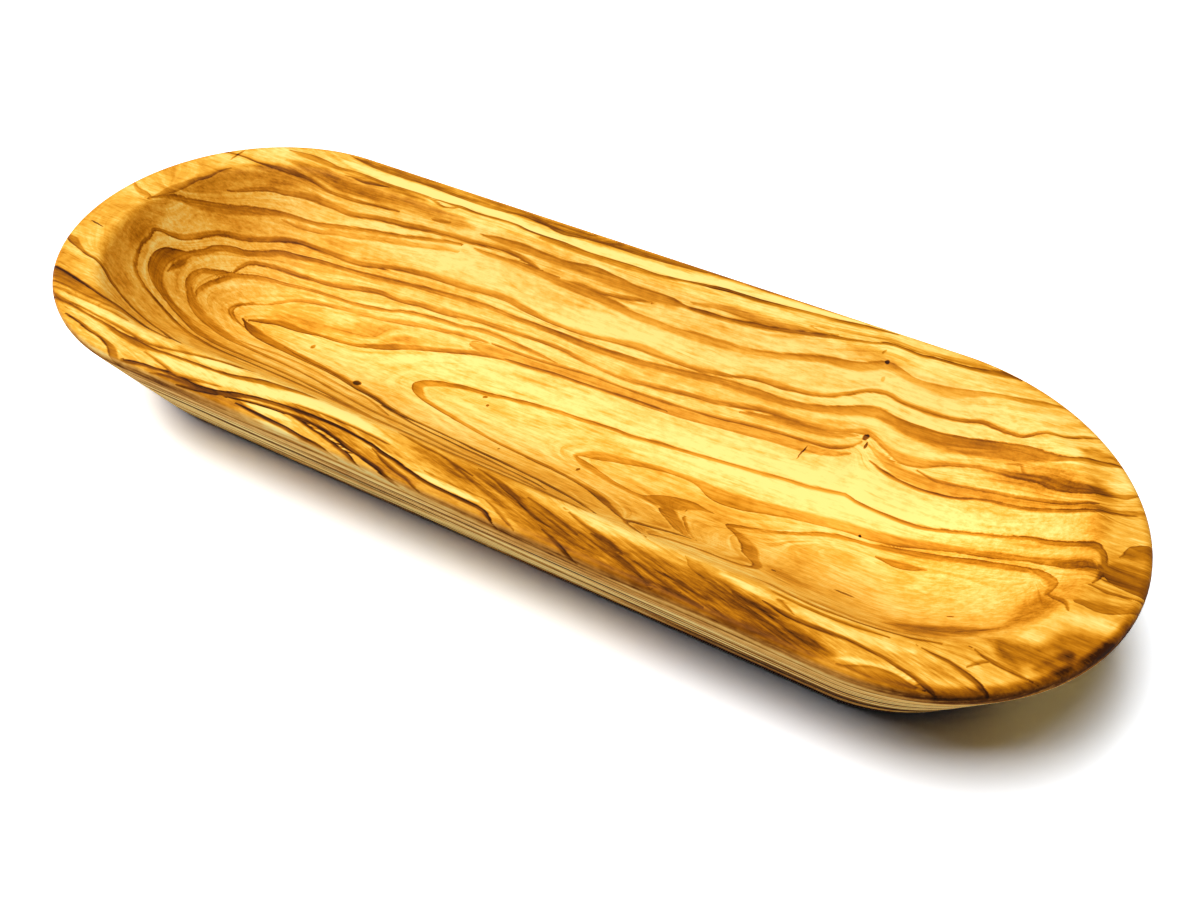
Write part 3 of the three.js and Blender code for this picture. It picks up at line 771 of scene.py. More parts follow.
@dataclass(frozen=True)
class RibbonLayer:
    """A layer of ribbons, felt at places on the plan.

    Attributes:
        ribbons: Its ribbons.
        reach: Greatest distance in millimetres at which a ribbon is felt.
        step: Length of the straight pieces that a ribbon's path is cut into.
        run: Number of pieces that are worked out together.
        taper: Length over which a ribbon narrows towards each end.
        taper_share: Greatest share of the ribbon's length that the taper takes.
        blunt: Share of its width that is left there.
        seam: Greatest gap at which two ribbons count as neighbours.
    """

    ribbons: tuple[Ribbon, ...]
    reach: float = 6.0
    step: float = 2.0
    run: int = 20
    taper: float = 7.0
    taper_share: float = 1 / 3
    blunt: float = 0.35
    seam: float = 1.5

    def unfelt(self, x: Array) -> Array:
        """Gap, side and half-width where no ribbon is in reach."""
        return np.stack([np.full(x.shape, self.reach), np.full(x.shape, self.reach), np.zeros(x.shape)])

    def tapered(self, ribbon: Ribbon) -> Array:
        """A ribbon's path in short straight pieces, narrowing towards both ends."""
        path = smooth_path(ribbon.path, self.step)
        way = np.append(0, np.cumsum(np.hypot(*np.diff(path[:, :2], axis=0).T)))
        to_end = np.minimum(way, way[-1] - way)
        full = smooth(to_end, 0.0, min(self.taper, way[-1] * self.taper_share))
        path[:, 2] *= self.blunt + (1 - self.blunt) * full
        return path

    def feel(self, ribbon: Ribbon, x: Array, y: Array) -> Array:
        """Where places lie from one ribbon.

        Of the straight pieces of the path, the one whose edge is nearest counts. The gap is the distance
        to it less half its width there, and the side is the distance again, negative right of the path.

        Args:
            ribbon: The ribbon.
            x: Places along the bowl.
            y: Places across it.

        Returns:
            Gap, side and half-width in the first axis, each shaped like x. Where the ribbon is out of
            reach, the gap and the side are the reach.
        """
        path = self.tapered(ribbon)
        felt = self.unfelt(x)
        for first in range(0, len(path) - 1, self.run):
            part = path[first:first + self.run + 1]
            margin = self.reach + part[:, 2].max() / 2
            low, high = part[:, :2].min(axis=0) - margin, part[:, :2].max(axis=0) + margin
            near = (x > low[0]) & (x < high[0]) & (y > low[1]) & (y < high[1])
            start, along = part[:-1], np.diff(part, axis=0)
            from_x, from_y = x[near][:, None] - start[:, 0], y[near][:, None] - start[:, 1]
            length = along[:, 0] ** 2 + along[:, 1] ** 2
            share = np.clip((from_x * along[:, 0] + from_y * along[:, 1]) / length, 0, 1)
            distance = np.hypot(from_x - share * along[:, 0], from_y - share * along[:, 1])
            side = np.copysign(distance, along[:, 0] * from_y - along[:, 1] * from_x)
            half = (start[:, 2] + share * along[:, 2]) / 2
            every = np.stack([distance - half, side, half])
            best = every[0].argmin(axis=1)
            own = every[:, np.arange(len(best)), best]
            felt[:, near] = np.where(own[0] < felt[0, near], own, felt[:, near])
        return felt

    def nearest(self, x: Array, y: Array) -> dict[str, Array]:
        """The nearest ribbon at each place.

        Which side of a ribbon is negative is free, so it is chosen to agree with the ribbons before it
        on the seams between them. The side then runs evenly from one ribbon to the next.

        Args:
            x: Places along the bowl.
            y: Places across it.

        Returns:
            Gap, side and half-width from that ribbon, and its ink, by name.
        """
        felt = self.unfelt(x)
        ink = np.zeros(x.shape)
        for ribbon in self.ribbons:
            own = self.feel(ribbon, x, y)
            seam = (np.abs(own[0] - felt[0]) < self.seam / 2) & (felt[0] < self.seam)
            if np.sum(own[1, seam] * felt[1, seam]) < 0:
                own[1] *= -1
            closer = own[0] < felt[0]
            felt = np.where(closer, own, felt)
            ink[closer] = ribbon.ink
        return {"gap": felt[0], "side": felt[1], "half": felt[2], "ink": ink}

    def wash(self, x: Array, y: Array) -> Array:
        """Sum of the ribbons' inks, each fading out across its blurred edge.

        Args:
            x: Places along the bowl.
            y: Places across it.

        Returns:
            Array like x.
        """
        total = np.zeros(x.shape)
        for ribbon in self.ribbons:
            total += ribbon.ink * smooth(self.feel(ribbon, x, y)[0], ribbon.soft, -ribbon.soft)
        return total


class GrowthField:
    """Growth levels over the plan: a membrane stretched through the growth lines.

    The level at a point is a constant plus a sum, over points spread along the lines, of a weight
    times the logarithm of the squared distance to that point with a little softness added. The
    weights make the membrane pass through each line at its level.
    """

    STRETCH = np.array([0.7, 1.0])
    SOFTNESS = 2.0
    STEP = 4.0
    SLACK = 0.02
    CHUNK = 4000

    def __init__(self, lines: Sequence[GrowthLine]) -> None:
        """Solve for the weights.

        Args:
            lines: All growth lines.
        """
        paths = [smooth_path(line.path, self.STEP) for line in lines]
        self.nodes = np.concatenate(paths) * self.STRETCH
        levels = np.repeat([float(line.level) for line in lines], [len(path) for path in paths])
        total = len(levels)
        system = np.zeros((total + 1, total + 1))
        system[:total, :total] = np.log(self.squared_reach(self.nodes)) - self.SLACK * np.eye(total)
        system[:total, total] = 1.0
        system[total, :total] = 1.0
        solution = np.linalg.solve(system, np.append(levels, 0.0))
        self.weights = solution[:total]
        self.offset = solution[total]

    def squared_reach(self, places: Array) -> Array:
        """Squared distance from stretched places to every node, with the softness added."""
        across = places[:, None, :] - self.nodes[None, :, :]
        return (across**2).sum(axis=2) + self.SOFTNESS**2

    def sample(self, plan: Array) -> Array:
        """Levels at places on the plan.

        Args:
            plan: x and y in millimetres, one row each.

        Returns:
            One level for each row.
        """
        level = np.empty(len(plan))
        for start in range(0, len(plan), self.CHUNK):
            part = slice(start, start + self.CHUNK)
            level[part] = np.log(self.squared_reach(plan[part] * self.STRETCH)) @ self.weights + self.offset
        return level


@dataclass
class GrowthMap:
    """Attributes:
        half_length: Half the bowl's length in millimetres.
        half_width: Half its width in millimetres.
        margin: How far the grid runs past the bowl.
        pitch: Grid spacing in millimetres.
        inside: How far from the end of the grid a look-up stays, in cells.
        xs: Grid places along the bowl.
        ys: Grid places across it.
        levels: The level at each grid place.
    """

    half_length: float
    half_width: float
    margin: float = 3.0
    pitch: float = 1.5
    inside: float = 1.001
    xs: Array = field(init=False)
    ys: Array = field(init=False)
    levels: Array = field(init=False)

    def __post_init__(self) -> None:
        """Fill the grid with levels."""
        self.xs = np.arange(-self.half_length - self.margin, self.half_length + 2 * self.margin, self.pitch)
        self.ys = np.arange(-self.half_width - self.margin, self.half_width + 2 * self.margin, self.pitch)
        grid = np.stack(np.meshgrid(self.xs, self.ys, indexing="ij"), axis=-1)
        self.levels = GrowthField(GROWTH_LINES).sample(grid.reshape(-1, 2)).reshape(grid.shape[:2])

    def at(self, x: Array, y: Array) -> Array:
        """Bilinear look-up.

        Args:
            x: Places along the bowl in millimetres.
            y: Places across it in millimetres.

        Returns:
            Levels at the places.
        """
        column = np.clip((x - self.xs[0]) / self.pitch, 0, len(self.xs) - self.inside)
        row = np.clip((y - self.ys[0]) / self.pitch, 0, len(self.ys) - self.inside)
        i, j = column.astype(int), row.astype(int)
        u, v = column - i, row - j
        low = self.levels[i, j] * (1 - u) + self.levels[i + 1, j] * u
        high = self.levels[i, j + 1] * (1 - u) + self.levels[i + 1, j + 1] * u
        return low * (1 - v) + high * v


@dataclass(frozen=True)
class Pattern:
    """A noise in the wood.

    Attributes:
        scale: Waves for each unit along the three axes that it is read on.
        strength: What its waves are multiplied by where they are used.
        detail: Octaves.
        roughness: Strength of the finer octaves.
    """

    scale: Station
    strength: float
    detail: float = 2.0
    roughness: float = 0.5


class Value:
    """A shader socket that takes part in Python arithmetic; each operation adds a Math node."""

    def __init__(self, graph: "Graph", socket: Any) -> None:
        """Hold a socket.

        Args:
            graph: The node graph that the socket belongs to.
            socket: An output socket.
        """
        self.graph = graph
        self.socket = socket

    def __add__(self, other: Input) -> "Value":
        """Sum."""
        return self.graph.math("ADD", self, other)

    def __radd__(self, other: Input) -> "Value":
        """Sum, with the number first."""
        return self.graph.math("ADD", other, self)

    def __sub__(self, other: Input) -> "Value":
        """Difference."""
        return self.graph.math("SUBTRACT", self, other)

    def __rsub__(self, other: Input) -> "Value":
        """Difference, with the number first."""
        return self.graph.math("SUBTRACT", other, self)

    def __mul__(self, other: Input) -> "Value":
        """Product."""
        return self.graph.math("MULTIPLY", self, other)

    def __rmul__(self, other: Input) -> "Value":
        """Product, with the number first."""
        return self.graph.math("MULTIPLY", other, self)

    def __truediv__(self, other: Input) -> "Value":
        """Quotient."""
        return self.graph.math("DIVIDE", self, other)

    def __rtruediv__(self, other: Input) -> "Value":
        """Quotient, with the number first."""
        return self.graph.math("DIVIDE", other, self)

    def __neg__(self) -> "Value":
        """Opposite."""
        return self.graph.math("MULTIPLY", self, -1.0)

    def __abs__(self) -> "Value":
        """Size without sign."""
        return self.graph.math("ABSOLUTE", self)

    def squared(self) -> "Value":
        """The value times itself."""
        return self.graph.math("MULTIPLY", self, self)

    def exponential(self) -> "Value":
        """e to the power of the value."""
        return self.graph.math("EXPONENT", self)

    def at_least(self, other: Input) -> "Value":
        """The greater of two values."""
        return self.graph.math("MAXIMUM", self, other)

    def at_most(self, other: Input) -> "Value":
        """The lesser of two values."""
        return self.graph.math("MINIMUM", self, other)

    def clamped(self) -> "Value":
        """The value kept between 0 and 1."""
        return self.at_least(0.0).at_most(1.0)

    def step(self, low: Input, high: Input) -> "Value":
        """Smooth step from 0 at low to 1 at high."""
        return self.graph.node("ShaderNodeMapRange", {"interpolation_type": "SMOOTHSTEP"},
                               {"Value": self, "From Min": low, "From Max": high})


class Graph:
    """The node graph of one material or of the surround."""

    def __init__(self, owner: Owner) -> None:
        """Start an empty graph.

        Args:
            owner: The material or world that it belongs to.
        """
        owner.use_nodes = True
        self.owner = owner
        self.tree = owner.node_tree
        self.tree.nodes.clear()

    def node(self, kind: str, settings: dict[str, Any], inputs: dict[Any, Input],
             output: Union[int, str] = 0) -> Value:
        """Add a node.

        Args:
            kind: Blender's type name of the node.
            settings: Properties, which are set first.
            inputs: Values or links by socket name or number.
            output: Name or number of the output to return.

        Returns:
            The chosen output.
        """
        made = self.tree.nodes.new(kind)
        for name, value in settings.items():
            setattr(made, name, value)
        for key, value in inputs.items():
            socket = made.inputs[key]
            if isinstance(value, Value):
                self.tree.links.new(value.socket, socket)
            else:
                socket.default_value = value
        return Value(self, made.outputs[output])

    def math(self, operation: str, *values: Input) -> Value:
        """Add a Math node for one operation on values."""
        return self.node("ShaderNodeMath", {"operation": operation}, dict(enumerate(values)))

    def attribute(self, name: str) -> Value:
        """A number that the mesh holds at its points."""
        return self.node("ShaderNodeAttribute", {"attribute_name": name}, {}, "Fac")

    def place(self) -> Value:
        """Object coordinates in millimetres."""
        coordinates = self.node("ShaderNodeTexCoord", {}, {}, "Object")
        return self.node("ShaderNodeVectorMath", {"operation": "SCALE"}, {0: coordinates, "Scale": 1 / MM})

    def split(self, vector: Value) -> tuple[Value, Value, Value]:
        """The three parts of a vector."""
        parts = self.node("ShaderNodeSeparateXYZ", {}, {0: vector}).socket.node.outputs
        return Value(self, parts[0]), Value(self, parts[1]), Value(self, parts[2])

    def join(self, x: Value, y: Value, z: Value) -> Value:
        """A vector from its three parts."""
        return self.node("ShaderNodeCombineXYZ", {}, {0: x, 1: y, 2: z})

    def noise(self, place: Value, pattern: Pattern) -> Value:
        """Noise about 0, from about -0.5 to 0.5, before its strength.

        Args:
            place: The three values that it is read on.
            pattern: The noise.

        Returns:
            The noise.
        """
        scaled = self.node("ShaderNodeVectorMath", {"operation": "MULTIPLY"}, {0: place, 1: pattern.scale})
        inputs = {"Vector": scaled, "Scale": 1.0, "Detail": pattern.detail, "Roughness": pattern.roughness}
        return self.node("ShaderNodeTexNoise", {"noise_dimensions": "3D"}, inputs, "Fac") - 0.5

    def mix(self, factor: Input, under: Input, over: Input) -> Value:
        """Lay one colour over another.

        Args:
            factor: How much of the upper colour shows.
            under: The lower colour.
            over: The upper colour.

        Returns:
            The mixed colour.
        """
        inputs = {"Factor": factor, 6: self.opaque(under), 7: self.opaque(over)}
        return self.node("ShaderNodeMix", {"data_type": "RGBA"}, inputs, 2)

    def shade(self, tone: Value, stops: Stops) -> Input:
        """Colour picked by a tone, mixed evenly between the stops on either side of it.

        Args:
            tone: The tone.
            stops: Tones in rising order, each with its colour.

        Returns:
            The colour.
        """
        colour: Input = stops[0][1]
        for (low, _), (high, over) in zip(stops, stops[1:]):
            share = ((tone - low) / (high - low)).clamped()
            colour = self.mix(share, colour, over)
        return colour

    @staticmethod
    def opaque(colour: Input) -> Input:
        """A colour with its alpha, or a link as it is."""
        return colour if isinstance(colour, Value) else (*colour, 1.0)

    def seen(self) -> Value:
        """1 for rays that show a thing to the camera, a mirror or glass, 0 for those that light others."""
        looks = ("Is Camera Ray", "Is Glossy Ray", "Is Transmission Ray")
        return sum(self.node("ShaderNodeLightPath", {}, {}, look) for look in looks).clamped()

    def finish(self, shader: Value) -> Owner:
        """Send a shader to the output and return the graph's owner."""
        kind = "World" if isinstance(self.owner, bpy.types.World) else "Material"
        output = self.tree.nodes.new(f"ShaderNodeOutput{kind}")
        self.tree.links.new(shader.socket, output.inputs["Surface"])
        return self.owner


@dataclass(frozen=True)
class RibbonEdge:
    """How dark a ribbon is across its width. Lengths are in millimetres.

    Attributes:
        stretch: How many times a ribbon's given width is drawn.
        spread: Width added on each side.
        hand_over: Gaps between which the distance stops coming from the side.
        least_half: Least half-width that the lean is measured by.
        inner: Where the crisp side starts to fade, inside the outline.
        outer: Where both sides end, outside the outline.
        soft: Share of the half-width by which the soft side starts to fade earlier.
        line_inset: How far inside the outline a fine dark line runs.
        line_width: Its width.
        body: Darkness inside, for each unit of ink.
        body_lean: How much that falls towards the soft side.
        line: Darkness that the line adds.
        line_lean: How much that falls towards the soft side.
    """

    stretch: float = 1.15
    spread: float = 0.16
    hand_over: Span = (0.3, 0.6)
    least_half: float = 0.3
    inner: float = -0.4
    outer: float = 0.35
    soft: float = 0.5
    line_inset: float = 0.35
    line_width: float = 0.4
    body: float = 0.98
    body_lean: float = 0.1
    line: float = 0.15
    line_lean: float = 0.17

    def darkness(self, graph: Graph, layer: Layer, sway: Value, ragged: Value) -> Value:
        """Darkness of one layer of ribbons: crisp and lined on one side, fading out on the other.

        Close to a ribbon the distance to its outline comes from the side, which runs evenly across it
        and so keeps thin ribbons whole. Farther off the side may change sign between two ribbons, and
        the gap is used there. The lean runs from -1 on the crisp side to 1 on the soft side.

        Args:
            graph: The node graph.
            layer: The layer, whose name begins those of its mesh attributes.
            sway: How far the ribbons stray sideways, in millimetres.
            ragged: How far their edges stray, in millimetres.

        Returns:
            The darkness.
        """
        parts = ("gap", "side", "half", "ink")
        gap, side, half, ink = (graph.attribute(f"{layer.value}_{part}") for part in parts)
        close = abs(side + sway) - half * self.stretch - self.spread
        away = gap.step(*self.hand_over)
        outline = close + (gap - close) * away + ragged
        lean = ((side + sway) / half.at_least(self.least_half)).at_least(-1.0).at_most(1.0)
        inside = 1.0 - outline.step(self.inner - lean.at_least(0.0) * half * self.soft, self.outer)
        line = (-((outline + self.line_inset) / self.line_width).squared()).exponential()
        body = inside * (self.body - lean * self.body_lean)
        return (body + line * (self.line - lean * self.line_lean)) * ink


@dataclass(frozen=True)
class OliveWood:
    """Oiled olive wood: honey ground, amber stains, brown bands, fibre and pores.

    Lengths are in millimetres. A pattern is a noise, and the span named after it is where its step rises.
    Waver moves bands sideways and fray moves their edges, and strokes take a share of both. Winding and
    strand follow the growth levels, slant follows the bands over the near rim, and ring follows the rings of
    the block, which stray by drift. Streaks deepen the stains and their painted shade too, the darker
    ribbons gain tone, and all of them lose some on a deep ground. Marks fade out over a span of squared
    radii, and a span of heights keeps them off the base. Names that end in tone, rough and relief say what a
    thing adds to the tone, the roughness and the height, where pores and ribbons sink instead.
    """

    top_stops: Stops = (
        (0.00, linear(255, 230, 134)),
        (0.15, linear(253, 207, 102)),
        (0.30, linear(246, 180, 62)),
        (0.50, linear(222, 146, 33)),
        (0.70, linear(187, 114, 13)),
        (0.95, linear(133, 73, 9)),
        (1.25, linear(54, 24, 5)),
    )
    wall_stops: Stops = (
        (0.00, linear(255, 229, 148)),
        (0.30, linear(247, 192, 99)),
        (0.60, linear(202, 135, 54)),
        (0.90, linear(108, 58, 12)),
        (1.25, linear(30, 13, 3)),
    )
    edge: RibbonEdge = RibbonEdge()
    waver: Pattern = Pattern((0.03, 0.12, 0.12), 2.0)
    fray: Pattern = Pattern((0.06, 0.8, 0.8), 1.4, 3.0, 0.65)
    stroke_waver: float = 0.6
    stroke_fray: float = 0.7
    patchy: Pattern = Pattern((0.025, 0.1, 0.1), 1.3, 3.0)
    winding: Pattern = Pattern((0.035, 5.0, 0.02), 1.0, 4.0, 0.65)
    slant: Pattern = Pattern((0.03, 0.6, 0.05), 1.35, 5.0, 0.72)
    slope: float = 0.28
    strand: Pattern = Pattern((0.02, 9.0, 0.01), 0.12)
    strand_span: Span = (0.1, 0.2)
    drift: Pattern = Pattern((0.008, 0.02, 0.02), 14.0, 1.0)
    ring: Pattern = Pattern((0.008, 0.36, 0.008), 7.5, 4.0, 0.6)
    fibre: Pattern = Pattern((0.09, 1.0, 1.0), 0.65, 4.0, 0.7)
    cloud: Pattern = Pattern((0.012, 0.035, 0.035), 0.75, 3.0)
    mottle: Pattern = Pattern((0.25, 0.4, 0.4), 0.45, 3.0, 0.6)
    pore: Pattern = Pattern((0.16, 1.9, 1.9), 0.12, 1.0)
    pore_span: Span = (0.17, 0.3)
    ground: float = 0.2
    streak_tone: float = 0.75
    streak_stain: float = 0.9
    figure_tone: float = 0.55
    figure_gain: float = 0.4
    figure_sink: float = 0.6
    mark_shift: tuple[Pattern, Pattern] = (Pattern((0.6, 0.6, 0.6), 0.9), Pattern((0.7, 0.5, 0.6), 0.9))
    mark_span: Span = (0.5, 1.6)
    mark_heights: Span = (12.0, 16.0)
    roughness: float = 0.48
    fibre_rough: float = 0.16
    figure_rough: float = 0.06
    pore_rough: float = 0.1
    wall_rough: float = 0.35
    fibre_relief: float = 0.5
    streak_relief: float = 0.25
    pore_relief: float = 0.6
    figure_relief: float = 0.2
    bump_strength: float = 0.2
    bump_depth: float = 0.4
    gloss: float = 0.04
    refractive_index: float = 1.47

    def material(self) -> bpy.types.Material:
        """Build the material.

        Slow noise makes the ribbons waver and quick noise along the fibre makes their edges ragged.
        Streaks are noise drawn out along the growth levels, so they follow the bands, and on the near
        rim along the slant at which the bands cross it. On the outer wall noise over the rings of the
        block makes lines that run round it. All of them add up to one tone, and the tone picks the
        colour from pale through honey to dark.

        Returns:
            The finished material.
        """
        graph = Graph(bpy.data.materials.new("olive_wood"))
        place = graph.place()
        x, y, z = graph.split(place)
        figured = graph.attribute("figured")
        bare = graph.attribute("bare")

        waver = graph.noise(place, self.waver) * self.waver.strength
        fray = graph.noise(place, self.fray) * self.fray.strength
        bands = self.edge.darkness(graph, Layer.BAND, waver, fray)
        strokes = self.edge.darkness(graph, Layer.STROKE, waver * self.stroke_waver, fray * self.stroke_fray)
        figure = bands.at_least(strokes) * (1.0 + graph.noise(place, self.patchy) * self.patchy.strength)

        growth = graph.join(x, graph.attribute("level"), y)
        winding = graph.noise(growth, self.winding) * figured * self.winding.strength
        slant = graph.noise(graph.join(x, y + x * self.slope, z), self.slant)
        streaks = winding + slant * graph.attribute("slanted") * self.slant.strength
        strands = graph.noise(growth, self.strand).step(*self.strand_span) * figured
        ring = graph.attribute("ring") + graph.noise(place, self.drift) * self.drift.strength
        rings = graph.noise(graph.join(x, ring, y), self.ring) * graph.attribute("grain")
        fibre = graph.noise(place, self.fibre)
        pores = graph.noise(place, self.pore).step(*self.pore_span)

        # Stains, with painted shade at the crest, foot and lip and a painted sheen on the far inner wall
        stain_and_painted_light = graph.attribute("stain_and_painted_light") * (1.0 + streaks * self.streak_stain)
        grain = (streaks * self.streak_tone + strands * self.strand.strength + rings * self.ring.strength
                 + fibre * self.fibre.strength + graph.noise(place, self.mottle) * self.mottle.strength
                 + graph.noise(place, self.cloud) * self.cloud.strength + pores * self.pore.strength)
        under = (self.ground + stain_and_painted_light + grain).at_least(0.0)
        drawn = figure * (self.figure_tone + figure * self.figure_gain) * (1.0 - under * self.figure_sink)
        tone = under + drawn + self.marks(graph, place, 1.0 - bare)
        colour = graph.mix(bare, graph.shade(tone, self.top_stops), graph.shade(tone, self.wall_stops))

        relief = (fibre * self.fibre_relief + streaks * self.streak_relief - pores * self.pore_relief
                  - figure * self.figure_relief)
        bump = {"Strength": self.bump_strength, "Distance": self.bump_depth * MM, "Height": relief}
        rough = (self.roughness + fibre * self.fibre_rough + figure * self.figure_rough
                 + pores * self.pore_rough + bare * self.wall_rough)
        shader = graph.node("ShaderNodeBsdfPrincipled", {}, {
            "Base Color": colour, "Roughness": rough.clamped(),
            "Normal": graph.node("ShaderNodeBump", {}, bump),
            "IOR": self.refractive_index, "Specular IOR Level": self.gloss})
        return graph.finish(shader)

    def marks(self, graph: Graph, place: Value, top: Value) -> Value:
        """Darkness of the small marks, each a bell over an ellipse on the plan.

        Args:
            graph: The node graph.
            place: Coordinates in millimetres.
            top: 1 on the top of the bowl, 0 on its wall.

        Returns:
            The darkness, 0 to 1.
        """
        x, y, z = graph.split(place)
        shift_x, shift_y = (graph.noise(place, shift) * shift.strength for shift in self.mark_shift)
        x = x + shift_x
        y = y + shift_y
        total: Input = 0.0
        for mark in MARKS:
            turn = math.radians(mark.turn)
            from_x, from_y = x - mark.centre[0], y - mark.centre[1]
            along = (from_x * math.cos(turn) + from_y * math.sin(turn)) / mark.radii[0]
            across = (from_y * math.cos(turn) - from_x * math.sin(turn)) / mark.radii[1]
            reach = along.squared() + across.squared()
            total = total + (1.0 - reach.step(*self.mark_span)) * mark.ink
        return (total * top * z.step(*self.mark_heights)).clamped()


@dataclass(frozen=True)
class Zones:
    """Where one kind of figure gives way to another, as spans in millimetres over which a step rises.

    Spans named along are places along the bowl, and those named across are places from the spine towards
    the near side, as near_rim is. The painted lip shade has its inset, its height from the rim and its x and
    y.
    Foot, off_foot and low_wall are measured from where the wall ends, and the other spans are the way down
    from the rim. Trace is the strength of the ribbons' faint trace on the wall, paling says how much paler
    the wall gets, and faint_rings is the strength of the rings near the rim. The rings are ellipses about a
    line ring_lift below the base, as flat as ring_flat, and fall by ring_tilt for each millimetre of x.
    """

    near_rim: Span = (55.0, 62.0)
    end_along: Span = (158.0, 176.0)
    end_across: Span = (12.0, 28.0)
    streaks_end: Span = (0.0, 2.5)
    slant_end: Span = (0.0, 1.6)
    ribbons_end: Span = (2.0, 5.0)
    trace_end: Span = (5.0, 16.0)
    trace: float = 0.4
    wall_start: Span = (1.5, 4.0)
    wall_pale: Span = (15.0, 24.0)
    paling: float = 0.55
    bare: Span = (2.0, 3.4)
    rings_start: Span = (2.0, 5.0)
    rings_full: Span = (10.0, 20.0)
    faint_rings: float = 0.45
    off_foot: Span = (1.0, 6.0)
    # Spans of the painted shade at the foot and low on the near right.
    foot: Span = (-15.0, -9.0)
    low_wall: Span = (-38.0, -24.0)
    right_along: Span = (-20.0, 130.0)
    right_across: Span = (20.0, 40.0)
    ring_lift: float = 60.0
    ring_flat: float = 0.7
    ring_tilt: float = 0.02
    # Where the painted shade along the lip's rounding lies.
    lip_shade_inset: Span = (3.6, 1.2)
    lip_shade_height: Span = (-7.0, -3.0)
    lip_shade_along: Span = (125.0, 160.0)
    lip_shade_across: Span = (-8.0, -24.0)


